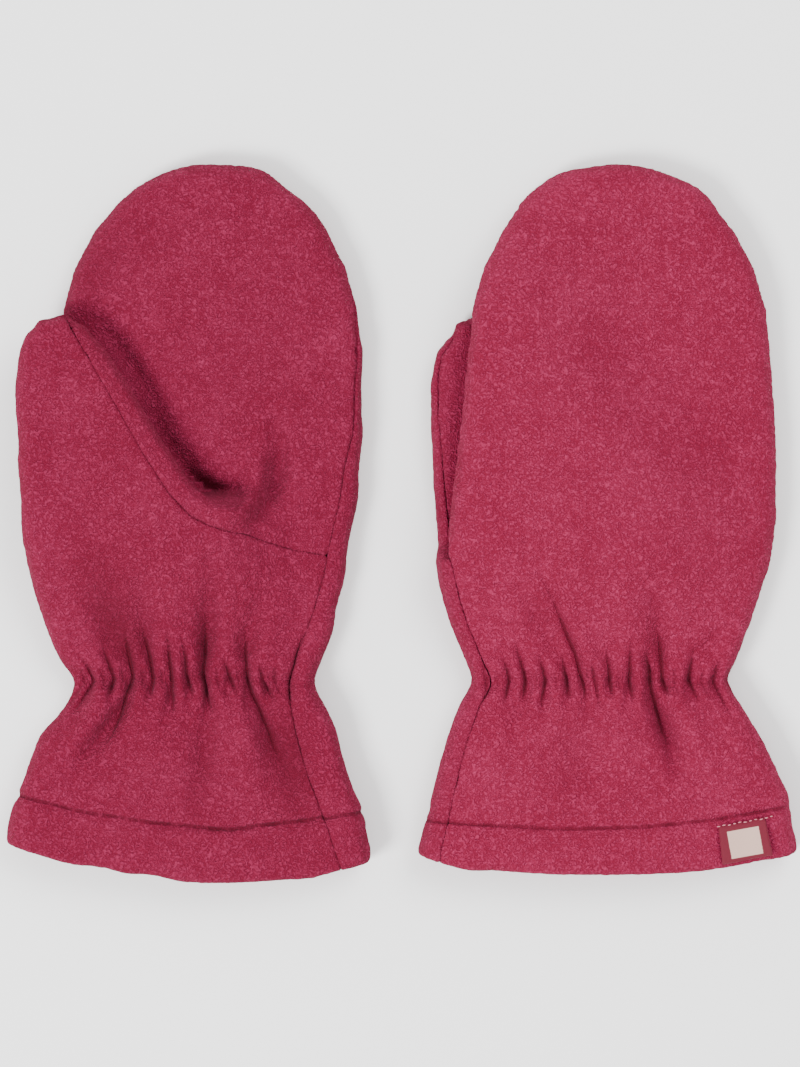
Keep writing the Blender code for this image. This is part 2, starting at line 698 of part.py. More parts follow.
def back_cap(sheet, columns, rows, near_chain, far_chain):
    """Rows of the back round the fingertips, with the rolls at their ends and along the last."""
    mitten = sheet.mitten
    reach = side_reach(CAP_Y)
    turn = math.pi / 2 - SEAM_GAP / 2 / reach
    for k in range(1, CAP_ROWS + 1):
        angle = CAP_ANGLE * k / CAP_ROWS
        row = [sheet.add(*cap_point(mitten, angle, u), HALF) for u in columns]
        rows.append(row)
        near_chain.append(back_roll(sheet, row[0], cap_point(mitten, angle, 0.0), WRAP_STEPS, turn))
        place = cap_point(mitten, angle, 1.0)
        far_turn = math.pi - far_turns(mitten, place[1])[0] - SEAM_GAP / 2 / reach
        far_chain.append(back_roll(sheet, row[-1], place, FAR_WRAP_STEPS, far_turn))
    tip_chain = [near_chain[-1]]
    for index, u in list(zip(rows[-1], columns))[1:-1]:
        place = cap_point(mitten, CAP_ANGLE, u)
        tip_chain.append(back_roll(sheet, index, place, WRAP_STEPS, turn))
    return tip_chain + [far_chain[-1]]


def back_sheet(mitten):
    """The back: one sheet from the hem to the fingertips, wrapped round to its seams."""
    sheet = Sheet(mitten)
    shared = back_columns(mitten)
    rows = []
    near_chain = []
    far_chain = []
    for mid_y, outer, inner in back_rows(mitten):
        near_x, _, far_x, _ = read_section(mitten, mid_y)
        reach = side_reach(mid_y)
        free = smooth_step((mid_y - JUNCTION_Y + JUNCTION_SPAN / 2) / JUNCTION_SPAN)
        seam_x = near_x + reach + SEAM_CLEARANCE + SEAM_GAP / 2
        start = mix(seam_x, finger_edge(mitten, mid_y) + reach, free)
        end = far_x - reach
        row = back_row(sheet, mid_y, (outer, inner), shared, (start, end))
        rows.append(row)
        far_chain.append(back_far_link(sheet, row[-1], mid_y, end, (outer, inner)))
        if free > 0:
            near_chain.append(back_near_link(sheet, row[0], mid_y, start, free, (outer, inner)))
        elif mid_y > JUNCTION_Y - JUNCTION_SPAN:
            near_chain.append([row[0]] * (WRAP_STEPS + 1))
    columns = [u for u, _ in spare(*shared, 2 if mitten["turned"] else 1)]
    tip_chain = back_cap(sheet, columns, rows, near_chain, far_chain)
    sheet.grid(rows)
    sheet.grid(near_chain)
    sheet.grid(tip_chain)
    sheet.grid(far_chain[::-1])
    return sheet


def thumb_rim(mitten):
    """Where the thumb's flat face ends: base point, way out and curl along its edge."""
    edge = np.stack([THUMB_EDGE["x"], THUMB_EDGE["y"]], axis=1)
    along = np.gradient(edge, axis=0)
    along /= np.linalg.norm(along, axis=1)[:, None]
    out = np.stack([-along[:, 1], along[:, 0]], axis=1)
    base = edge - out * (HALF + THUMB_EDGE_REACH)
    base[:, 0] += mitten["thumb_x"]
    return table(RIM_COLUMNS, np.column_stack([base, out, THUMB_EDGE["curl"]]))


def read_rim(rim, x):
    """Base height in plan, way out and curl angle of the thumb's edge at a column."""
    y, nx, ny, curl = (read_curve(rim, x, column) for column in RIM_COLUMNS[1:])
    length = math.hypot(nx, ny)
    return y, (nx / length, ny / length), math.radians(min(curl, 180.0))


def seam_y(mitten, x):
    """The seam between the two palm pieces, on top of the thumb and across the palm."""
    return read_curve(THUMB_SEAM, x - mitten["thumb_x"], "y")


def seam_half_gap(mitten, x):
    """Half the seam's gap, measured in y where the seam runs on a slant."""
    slope = seam_y(mitten, x + SLOPE_STEP) - seam_y(mitten, x - SLOPE_STEP)
    return SEAM_GAP / 2 * math.hypot(1.0, slope)


def thumb_side(mitten, y):
    """Start of the rounded outer side on the thumb and the heel, with its reach."""
    on_thumb = smooth_step((y - JUNCTION_Y + JUNCTION_SPAN / 2 + THUMB_JUNCTION_LEAD) / JUNCTION_SPAN)
    mid_y = mid_of(mitten, mitten["thumb_x"] + THUMB_MIDDLE, y)
    reach = mix(side_reach(mid_y), THUMB_EDGE_REACH, on_thumb)
    outer = mitten["thumb_x"] + read_curve(THUMB_OUTER, y, "x") + HALF
    heel = read_section(mitten, mid_y)[0]
    on_heel = smooth_step((y - HEEL_SIDE_Y) / HEEL_SIDE_SPAN)
    return mix(heel, outer, on_heel) + reach, reach, on_thumb


def far_palm_edge(mitten, mid_y):
    """Last point of a palm piece's flat part before the little finger's seam."""
    far_x = read_section(mitten, mid_y)[2]
    reach = side_reach(mid_y)
    turn, rest = far_turns(mitten, mid_y)
    turn -= SEAM_GAP / 2 / reach
    if rest > 0 or turn <= LEAST_TURN:
        return far_x - reach - rest - SEAM_GAP / 2, 0.0
    return far_x - reach, turn


def fold_heading(run, rise):
    """Steepest way the folded cloth takes to climb from the palm to the thumb's top."""
    bend = THUMB_UNDER_RADIUS + THUMB_HALF_HEIGHT
    if rise < LEAST_RISE:
        return 0.0
    if run >= 0:
        return math.pi
    a = bend - rise
    swing = math.hypot(a, run)
    return min(max(math.atan2(-run, a) - math.acos(min(bend / swing, 1.0)), 0.0), math.pi)


def near_palm_edge(mitten, y):
    """First point of the upper palm's flat part beside the finger part's edge."""
    return finger_edge(mitten, y) + side_reach(y)


def fold_place(mitten, i, count):
    """Where a column of the upper palm turns under the thumb: its x and its y."""
    if i == 0:
        fold_x = thumb_side(mitten, NEAR_THUMB_Y)[0]
    elif i == count - 1:
        return far_palm_edge(mitten, FAR_EDGE_Y)[0], FAR_FOLD_Y
    else:
        fold_x = mitten["thumb_x"] + SEAM_PLACES[i - 1]
    return fold_x, read_curve(THUMB_FOLD, fold_x - mitten["thumb_x"], "y")


def palm_run(mitten, u, fold_x, start_y):
    """The part of an upper palm's column that lies on the fingers, down to its fold."""
    shift = near_palm_edge(mitten, NEAR_FOLD_Y) - thumb_side(mitten, NEAR_THUMB_Y)[0]
    place = fold_x - mitten["thumb_x"] - UPPER_LEAN_PLACE
    bottom_x = fold_x + shift * (1 - smooth_step(place / NEAR_SHARE))
    base_left, base_right = near_palm_edge(mitten, start_y), far_palm_edge(mitten, start_y)[0]
    foot_share = 1.0 if u == 1 else (bottom_x - base_left) / (base_right - base_left)
    path = []
    for k in range(PALM_ROWS):
        f = k / (PALM_ROWS - 1)
        y = mix(CAP_Y, start_y, f)
        left, right = near_palm_edge(mitten, y), far_palm_edge(mitten, y)[0]
        path.append((mix(left, right, mix(u, foot_share, f)), y, 0.0, "palm", NO_NORMAL))
    return path


def fold_turn(bottom_x, fold_x, start_y, heading):
    """The turn at the foot of the fold, from the palm back towards the thumb."""
    path = []
    for k in range(1, TURN_STEPS + 1):
        a = heading * k / TURN_STEPS
        f = k / TURN_STEPS
        y = start_y - THUMB_UNDER_RADIUS * math.sin(a)
        x = mix(bottom_x, fold_x, f * TURN_SHARE) if heading > 1e-3 else bottom_x
        path.append((x, y, THUMB_UNDER_RADIUS * (1 - math.cos(a)), "turn", NO_NORMAL))
    return path


def fold_run(mitten, first, lip, near):
    """The straight part under the thumb, from the turn to the thumb's lip."""
    path = []
    for k in range(1, RUN_STEPS + 1):
        f = k / RUN_STEPS
        y = mix(first[1], lip[1], f)
        x = mix(first[0], lip[0], f)
        if near:
            x = mix(first[0], thumb_side(mitten, y)[0], smooth_step(f * 3))
        path.append((x, y, mix(first[2], lip[2], f), "run", NO_NORMAL))
    return path


def lip_curl(end, out, rise, turns):
    """The curl over the thumb's lip, between two angles."""
    path = []
    for k in range(1, TURN_STEPS + 1):
        a = mix(*turns, k / TURN_STEPS)
        reach = THUMB_EDGE_REACH * math.sin(a)
        z = rise - THUMB_HALF_HEIGHT * (1 - math.cos(a))
        lean = math.sin(a) / THUMB_EDGE_REACH
        normal = (out[0] * lean, out[1] * lean, math.cos(a) / THUMB_HALF_HEIGHT)
        path.append((end[0] + out[0] * reach, end[1] + out[1] * reach, z, "curl", normal))
    return path


def seam_end(mitten, last, curl, far):
    """Last point of an upper palm's column: on the seam where that lies further down."""
    stop_y = seam_y(mitten, last[0]) + seam_half_gap(mitten, last[0])
    if curl <= FULL_CURL or stop_y >= last[1]:
        return last
    x = far_palm_edge(mitten, stop_y)[0] if far else last[0]
    return x, stop_y, thumb_rise(mitten, x, stop_y), "seam", NO_NORMAL


def upper_column(mitten, rim, i, count):
    """One column of the upper palm, from the fingers over the S fold to the seam."""
    near = i == 0
    far = i == count - 1
    fold_x, start_y = fold_place(mitten, i, count)
    path = palm_run(mitten, i / (count - 1), fold_x, start_y)
    end_x = rim["x"][0] if near else fold_x
    end_y, out, curl = read_rim(rim, end_x)
    if far:
        end_x = far_palm_edge(mitten, end_y)[0]
    rise = thumb_rise(mitten, end_x, end_y)
    heading = fold_heading(end_y - start_y, rise)
    path += fold_turn(path[-1][0], fold_x, start_y, heading)
    lip = THUMB_EDGE_REACH * math.sin(heading)
    lip_z = rise - THUMB_HALF_HEIGHT * (1 - math.cos(heading))
    lip_point = (end_x + out[0] * lip, end_y + out[1] * lip, lip_z)
    path += fold_run(mitten, path[-1], lip_point, near)
    least = heading * (1 - curl / math.pi)
    if curl < FULL_CURL:
        least += TIP_SEAM_GAP / 2 / THUMB_EDGE_REACH
    path += lip_curl((end_x, end_y), out, rise, (heading, least))
    return path + [seam_end(mitten, path[-1], curl, far)]


def upper_sheet(mitten):
    """The upper palm: fingers, then an S fold into the inner half of the thumb."""
    sheet = Sheet(mitten)
    rim = thumb_rim(mitten)
    count = len(SEAM_PLACES) + 2
    columns = [upper_column(mitten, rim, i, count) for i in range(count)]
    rows = []
    for k in range(CAP_ROWS, 0, -1):
        row = []
        for i in range(count):
            x, y = cap_point(mitten, CAP_ANGLE * k / CAP_ROWS, i / (count - 1))
            row.append(sheet.add(x, y, palm_height(mitten, x, y)))
        rows.append(row)
    for places in zip(*columns):
        row = []
        for x, y, z, _, normal in places:
            sink = 0.0
            if not mitten["turned"] and z < LOW_CLOTH:
                sink = fold_depth(mitten, x, y)
            row.append(sheet.add(x, y, palm_height(mitten, x, y) + z - sink, (HALF, HALF), normal))
        rows.append(row)
    sheet.grid(rows)
    sheet.grid(upper_near_chain(sheet, mitten, rows, columns[0]))
    sheet.grid(upper_tip_chain(sheet, mitten, rows[0]))
    sheet.grid(upper_far_chain(sheet, mitten, rows, columns[-1])[::-1])
    return sheet


def upper_near_chain(sheet, mitten, rows, column):
    """Roll of the upper palm's thumb side: round the fingers' edge, then up the thumb's."""
    chain = []
    reach = side_reach(CAP_Y)
    turn = math.pi / 2 - SEAM_GAP / 2 / reach
    for k in range(CAP_ROWS):
        angle = CAP_ANGLE * (CAP_ROWS - k) / CAP_ROWS
        x, y = cap_point(mitten, angle, 0.0)
        z = palm_height(mitten, x, y)
        points = wrap_points(sheet, (x, y, z), cap_normal(mitten, x, y), reach, (z - HALF) / 2,
                             turn, 0, -1, WRAP_STEPS, (HALF, HALF))
        chain.append([rows[k][0]] + points)
    turned = 0
    for j, (x, y, z, part, _) in enumerate(column):
        index = rows[CAP_ROWS + j][0]
        base_z = palm_height(mitten, x, y) + z
        if part == "palm":
            side = (side_reach(y), (base_z - HALF) / 2, math.pi / 2 - SEAM_GAP / 2 / side_reach(y))
            reach, lift, turn = side
            sign = -1
        elif part in ("turn", "run"):
            inset = read_curve(THUMB_SEAM_INSETS, y, "inset")
            up = max(wrap_angle(inset, THUMB_EDGE_REACH)[0] - SEAM_GAP / 2 / THUMB_EDGE_REACH, LEAST_UP)
            if part == "turn":
                turned += 1
            f = smooth_step(turned / TURN_STEPS)
            reach = mix(side[0], THUMB_EDGE_REACH, f)
            lift = mix(-side[1], THUMB_HALF_HEIGHT, f)
            turn = mix(side[2], up, f)
            sign = 1
            if abs(lift) < LEAST_LIFT:
                lift = LEAST_LIFT
        else:
            tip = [row[0] for row in rows[CAP_ROWS + j:CAP_ROWS + j + TURN_STEPS]]
            chain.append([rows[CAP_ROWS + j - 1][0]] + tip)
            break
        points = wrap_points(sheet, (x, y, base_z), (-1, 0), reach, lift, turn, 0, sign, WRAP_STEPS,
                             (HALF, HALF))
        if part == "turn":
            for point in points:
                sheet.normals[point] = NO_NORMAL
        chain.append([index] + points)
    return chain


def upper_tip_chain(sheet, mitten, row):
    """Roll of the upper palm round the fingertips."""
    reach = side_reach(CAP_Y)
    turn = math.pi / 2 - SEAM_GAP / 2 / reach
    chain = []
    for k, index in enumerate(row):
        x, y = cap_point(mitten, CAP_ANGLE, k / (len(row) - 1))
        z = palm_height(mitten, x, y)
        points = wrap_points(sheet, (x, y, z), cap_normal(mitten, x, y), reach, (z - HALF) / 2,
                             turn, 0, -1, WRAP_STEPS, (HALF, HALF))
        chain.append([index] + points)
    return chain


def upper_far_chain(sheet, mitten, rows, column):
    """Roll of the upper palm towards the little finger's seam."""
    chain = []
    for j, row in enumerate(rows):
        if j < CAP_ROWS:
            x, y = cap_point(mitten, CAP_ANGLE * (CAP_ROWS - j) / CAP_ROWS, 1.0)
            out = cap_normal(mitten, x, y)
            z = 0.0
        else:
            x, y, z, _, _ = column[j - CAP_ROWS]
            out = (1, 0)
        mid_y = mid_of(mitten, x, y)
        turn = far_palm_edge(mitten, mid_y)[1]
        index = row[-1]
        if turn <= 0:
            chain.append([index] * (WRAP_STEPS + 1))
            continue
        base_z = palm_height(mitten, x, y) + z
        points = wrap_points(sheet, (x, y, base_z), out, side_reach(mid_y), (base_z - HALF) / 2, turn,
                             0, -1, WRAP_STEPS, (HALF, HALF))
        chain.append([index] + points)
    return chain


def lower_top(mitten, rim, x):
    """Upper edge of the lower palm at a column: the thumb's tip, then the seam."""
    y, out, curl = read_rim(rim, x)
    rel = x - mitten["thumb_x"]
    if rel > THUMB_SEAM["x"][0]:
        y = min(y, seam_y(mitten, x))
        return y - seam_half_gap(mitten, x), out, math.pi - curl
    return y, out, math.pi - curl


def seam_columns(mitten, start, end, count):
    """Places of the lower palm's columns at its upper edge, spread over the shared ones."""
    shared = [start] + [mitten["thumb_x"] + place for place in SEAM_PLACES] + [end]
    steps = np.linspace(0, len(shared) - 1, count)
    return [float(x) for x in np.interp(steps, range(len(shared)), shared)]


def lower_columns(mitten):
    """Columns across the lower palm, and how high a gather stands at each."""
    if not mitten["turned"]:
        return front_columns(mitten, 3)
    count = len(SEAM_PLACES) + 2
    return [k / (count - 1) for k in range(count)], [1.0] * count


def fan_rows(mitten, rim, columns, ridges, tops):
    """Rows of places from the lower palm's upper edge down to its foot over the elastic."""
    foot_y = mitten["elastic_y"] + ROWS_FROM_ELASTIC[-1]
    near_x = read_section(mitten, foot_y)[0] + side_reach(foot_y)
    far_x = far_palm_edge(mitten, foot_y)[0]
    top_ys = [lower_top(mitten, rim, x)[0] for x in tops]
    feet = [mix(near_x, far_x, u) for u in columns]
    foot_ys = [row_y(mitten, foot_y, x) for x in feet]
    lines = list(zip(columns, ridges, tops, top_ys, feet, foot_ys))[::1 if mitten["turned"] else 2]
    rows = []
    for f in FAN_SHARES:
        ease = (smooth_step(f) + f) / 2
        near_y = mix(top_ys[0], foot_ys[0], f)
        far_mid = mid_of(mitten, feet[-1], mix(top_ys[-1], foot_ys[-1], f))
        near_fix = thumb_side(mitten, near_y)[0] - mix(tops[0], feet[0], ease)
        far_fix = far_palm_edge(mitten, far_mid)[0] - mix(tops[-1], feet[-1], ease)
        places = []
        for u, ridge, tx, ty, fx, fy in lines:
            x = mix(tx, fx, ease) + near_fix * (1 - u) ** 3 + far_fix * u**3
            places.append((x, mix(ty, fy, f), u, ridge))
        rows.append(places)
    return rows


def cuff_rows(mitten, columns, ridges):
    """Rows of places from the fan's foot to the hem's edge, with both depths."""
    elastic = mitten["elastic_y"]
    listing = [(elastic + away, HALF, HALF) for away in ROWS_FROM_ELASTIC[-2::-1]]
    listing.append((elastic, HALF, HALF))
    rows = []
    for mid_y, outer, inner in listing + hem_rows(mitten):
        near_x = read_section(mitten, mid_y)[0] + side_reach(mid_y)
        far_x = far_palm_edge(mitten, mid_y)[0]
        step = 3 if not mitten["turned"] and mid_y < elastic - FINE_REACH else 1
        places = []
        for u, ridge in spare(columns, ridges, step):
            x = mix(near_x, far_x, u)
            places.append((x, row_y(mitten, mid_y, x), u, ridge))
        rows.append((places, (outer, inner)))
    return rows


def lower_tip_chain(sheet, mitten, rim, row, tops):
    """Roll of the lower palm round the thumb's tip."""
    chain = []
    for index, x in zip(row, tops):
        y, out, turn = lower_top(mitten, rim, x)
        if turn <= LEAST_TURN:
            chain.append([index] * (WRAP_STEPS + 1))
            continue
        z = palm_height(mitten, x, y) + thumb_rise(mitten, x, y)
        turn -= TIP_SEAM_GAP / 2 / THUMB_EDGE_REACH
        points = wrap_points(sheet, (x, y, z), out, THUMB_EDGE_REACH, THUMB_HALF_HEIGHT, turn, 0,
                             -1, WRAP_STEPS, (HALF, HALF))
        chain.append([index] + points)
    return chain


def lower_sheet(mitten):
    """The lower palm: outer half of the thumb, heel of the hand and the cuff's palm side."""
    sheet = Sheet(mitten)
    rim = thumb_rim(mitten)
    columns, ridges = lower_columns(mitten)
    seam_stop = far_palm_edge(mitten, SEAM_END_Y)[0]
    tops = seam_columns(mitten, rim["x"][0], seam_stop, len(columns))
    rows = []
    near_chain = []
    far_chain = []
    for places in fan_rows(mitten, rim, columns, ridges, tops):
        lower_row(sheet, places, (HALF, HALF), rows, near_chain, far_chain)
    for places, depths in cuff_rows(mitten, columns, ridges):
        lower_row(sheet, places, depths, rows, near_chain, far_chain)
    tops = tops[::1 if mitten["turned"] else 2]
    tip_chain = [near_chain[0]] + lower_tip_chain(sheet, mitten, rim, rows[0], tops)[1:]
    sheet.grid(rows)
    sheet.grid(near_chain)
    sheet.grid(tip_chain[::-1])
    sheet.grid(far_chain[::-1])
    return sheet


def lower_row(sheet, places, depths, rows, near_chain, far_chain):
    """One row of the lower palm with its rolls at both ends; a place is x, y, share, ridge."""
    mitten = sheet.mitten
    row = []
    heights = []
    for x, y, u, ridge in places:
        z = palm_height(mitten, x, y) + thumb_rise(mitten, x, y)
        if not mitten["turned"]:
            z -= fold_depth(mitten, x, y) + gather_depth(mitten, x, y, ridge)
        side = LEVEL_UP if u in (0.0, 1.0) else NO_NORMAL
        row.append(sheet.add(x, y, z, depths, side))
        heights.append(z)
    rows.append(row)
    first = (places[0][0], places[0][1], heights[0])
    last = (places[-1][0], places[-1][1], heights[-1])
    near_chain.append(lower_near_link(sheet, mitten, row[0], first, depths))
    far_chain.append(lower_far_link(sheet, mitten, row[-1], last, depths))


def lower_near_link(sheet, mitten, index, place, depths):
    """Roll of the lower palm at one row, round the thumb or round the heel to the back."""
    x, y, z = place
    _, reach, on_thumb = thumb_side(mitten, y)
    mid_y = mid_of(mitten, x, y)
    heel = side_reach(mid_y) + HALF + SEAM_CLEARANCE
    inset = mix(heel, read_curve(THUMB_SEAM_INSETS, y, "inset"), on_thumb)
    lift = mix((z - HALF) / 2, THUMB_HALF_HEIGHT, on_thumb)
    turn, rest = wrap_angle(inset, reach)
    turn = math.pi - turn - (TIP_SEAM_GAP / 2 / reach if rest <= 0 else 0.0)
    rest = max(rest - SEAM_GAP / 2, 0.0)
    sunk = mitten["turned"] and y < JUNCTION_Y - JUNCTION_SPAN
    row = mid_y if y < CUFF_TOP_Y else None
    return [index] + wrap_points(sheet, (x, y, z), (-1, 0), reach, lift, turn, rest, -1,
                                 FAR_WRAP_STEPS, depths, row, sunk)


def lower_far_link(sheet, mitten, index, place, depths):
    """Roll of the lower palm at one row, towards the little finger's seam."""
    x, y, z = place
    mid_y = mid_of(mitten, x, y)
    turn = far_palm_edge(mitten, mid_y)[1]
    if turn <= 0:
        return [index] * (WRAP_STEPS + 1)
    return [index] + wrap_points(sheet, (x, y, z), (1, 0), side_reach(mid_y), (z - HALF) / 2, turn, 0,
                                 -1, WRAP_STEPS, depths, mid_y)


def label_sheet(mitten):
    """The small woven label that lies on the hem of the right mitten's back."""
    sheet = Sheet(mitten)
    top = mitten["hem_line_y"] - LABEL_TOP_DROP
    foot = mitten["sections"]["mid_y"][0] + LABEL_FOOT_RISE
    rows = []
    for j in range(LABEL_ROWS + 1):
        f = j / LABEL_ROWS
        mid_y = mix(top, foot, f)
        left, right = (mix(a, b, f) for a, b in zip(LABEL_TOP_ENDS, LABEL_FOOT_ENDS))
        row = []
        for i in range(LABEL_STEPS + 1):
            x = mix(left, right, i / LABEL_STEPS)
            y = row_y(mitten, mid_y, x)
            z = -SEAM_GAP - LABEL_THICKNESS / 2
            row.append(sheet.add(x, y, z, (LABEL_THICKNESS / 2, LABEL_THICKNESS / 2)))
        rows.append(row)
    sheet.grid(rows)
    return sheet


def centre_on_origin():
    """Move all pieces so that their common box stands centred over the origin."""
    meshes = [obj.data for obj in bpy.data.objects]
    points = np.array([tuple(v.co) for mesh in meshes for v in mesh.vertices])
    low, high = points.min(axis=0), points.max(axis=0)
    shift = Vector((-(low[0] + high[0]) / 2, -(low[1] + high[1]) / 2, -low[2]))
    for mesh in meshes:
        mesh.transform(Matrix.Translation(shift))


def build():
    """Build both mittens, piece by piece."""
    clear_scene()
    for mitten in (LEFT, RIGHT):
        name = mitten["name"]
        palm_up = not mitten["turned"]
        add_object(name + "_back", wall_mesh(back_sheet(mitten), name + "_back", not palm_up))
        add_object(name + "_palm_upper", wall_mesh(upper_sheet(mitten), name + "_palm_upper", palm_up))
        add_object(name + "_palm_lower", wall_mesh(lower_sheet(mitten), name + "_palm_lower", palm_up))
    add_object("right_label", wall_mesh(label_sheet(RIGHT), "right_label", True))
    centre_on_origin()


build()
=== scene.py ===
"""A pair of child's fleece mittens, laid flat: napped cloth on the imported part's form."""

import bpy
import numpy as np
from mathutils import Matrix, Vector
from mathutils.kdtree import KDTree


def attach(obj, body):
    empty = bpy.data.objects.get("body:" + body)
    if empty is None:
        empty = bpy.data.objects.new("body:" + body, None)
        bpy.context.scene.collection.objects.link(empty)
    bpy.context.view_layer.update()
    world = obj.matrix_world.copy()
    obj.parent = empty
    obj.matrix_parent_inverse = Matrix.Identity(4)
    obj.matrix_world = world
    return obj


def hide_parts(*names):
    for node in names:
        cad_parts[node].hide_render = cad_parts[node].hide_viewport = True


MM = 0.001

# Cloth panels: the imported piece, the width of its mesh's cells in millimetres, its colour's
# brightness beside the others, which paints in light, as the right back on top is made
# lighter against the shade on its slope, and the cut of what shows in metres and square metres.
PANEL_COLUMNS = ("node", "mitten", "cell", "tone", "width", "length", "area")
PANEL_ROWS = [
    ("left_back", "left", 0.62, 0.92, 0.104, 0.206, 0.0154),
    ("left_palm_upper", "left", 0.55, 0.89, 0.096, 0.150, 0.0093),
    ("left_palm_lower", "left", 0.55, 0.88, 0.104, 0.158, 0.0094),
    ("right_back", "right", 0.65, 1.09, 0.106, 0.206, 0.0155),
    ("right_palm_upper", "right", 0.62, 0.97, 0.098, 0.150, 0.0097),
    ("right_palm_lower", "right", 0.60, 1.0, 0.106, 0.158, 0.0098),
]

# Creases at the elastic, in millimetres. Each starts on the elastic at x, runs up and down by
# its own reach and drifts sideways by lean_up and lean_down.
CREASE_COLUMNS = ("x", "up", "lean_up", "down", "lean_down", "depth", "width")
CREASE_ROWS = {
    "left": [
        (-84.0, 3.0, -1.6, 6.0, -5.5, 0.6, 0.9),
        (-81.2, 6.0, -4.6, 8.5, -8.0, 1.2, 0.9),
        (-78.4, 3.0, -1.2, 3.0, -1.0, 0.5, 0.8),
        (-76.0, 8.0, -3.6, 4.5, -2.2, 1.3, 0.9),
        (-73.6, 3.0, -0.6, 3.0, -0.8, 0.5, 0.8),
        (-71.0, 10.5, -2.6, 18.0, -10.0, 1.5, 1.1),
        (-68.3, 2.6, -0.8, 3.0, -0.6, 0.5, 0.8),
        (-65.8, 12.0, -3.2, 5.0, -1.2, 1.4, 0.9),
        (-63.4, 3.0, -0.4, 3.5, -0.2, 0.5, 0.7),
        (-60.9, 11.0, -1.4, 10.0, 0.2, 1.4, 1.0),
        (-56.4, 9.0, -1.8, 5.0, 0.8, 1.4, 0.9),
        (-54.4, 2.6, 0.2, 3.0, 0.0, 0.4, 0.7),
        (-52.2, 14.0, 0.8, 9.0, 2.2, 1.6, 1.0),
        (-48.4, 3.0, -0.8, 4.0, 0.6, 0.6, 0.8),
        (-45.0, 4.5, -2.2, 4.0, 1.2, 1.2, 0.9),
        (-42.8, 2.8, -0.6, 3.4, 0.8, 0.5, 0.7),
        (-40.5, 10.5, -1.0, 22.0, 11.0, 1.5, 1.1),
        (-36.4, 3.5, -1.0, 5.5, 3.2, 1.1, 0.9),
        (-33.4, 3.0, 0.4, 4.5, 2.4, 0.8, 0.8),
        (-29.6, 12.0, 3.8, 6.0, 1.6, 1.1, 1.0),
    ],
    "right": [
        (22.6, 5.0, -1.6, 5.0, -1.4, 0.8, 0.9),
        (25.8, 3.0, -0.8, 3.0, -0.6, 0.5, 0.8),
        (28.8, 6.0, -2.0, 6.0, -2.2, 1.2, 0.9),
        (33.2, 9.0, -3.6, 5.5, -1.2, 1.3, 0.9),
        (35.8, 3.0, -0.6, 3.0, -0.4, 0.5, 0.7),
        (38.4, 6.0, -2.2, 8.0, -1.8, 1.3, 1.0),
        (41.2, 3.0, -0.8, 3.0, 0.0, 0.5, 0.8),
        (44.0, 6.0, -2.0, 5.0, 0.4, 1.2, 0.9),
        (48.2, 24.0, -13.5, 5.0, 0.6, 1.4, 1.1),
        (51.4, 4.0, -1.0, 8.0, 1.2, 1.1, 0.9),
        (55.2, 7.5, -0.8, 4.5, 0.4, 1.3, 1.0),
        (57.6, 3.0, 0.0, 3.0, 0.4, 0.5, 0.8),
        (60.4, 9.0, 0.4, 6.0, 0.8, 1.3, 1.0),
        (65.8, 7.0, -0.8, 19.0, 6.6, 1.7, 1.2),
        (69.4, 13.0, -1.6, 4.0, 1.2, 1.4, 1.0),
        (72.2, 3.0, 0.6, 4.0, 1.2, 0.6, 0.8),
        (76.2, 7.5, 1.6, 5.0, 2.6, 1.3, 0.9),
        (79.4, 3.0, 0.8, 4.0, 2.0, 0.6, 0.8),
        (82.6, 5.5, 2.4, 9.0, 6.0, 1.1, 1.0),
        (86.0, 4.0, 2.0, 5.0, 4.0, 0.7, 0.9),
    ],
}

# Where the elastic draws each mitten in: its middle, half its length, its height on the page
# in the middle, and how far its ends turn up.
ELASTICS = {
    "left": {"x": -54.3, "half": 32.0, "y": -41.0, "bow": -1.2},
    "right": {"x": 54.6, "half": 34.0, "y": -41.6, "bow": -0.6},
}
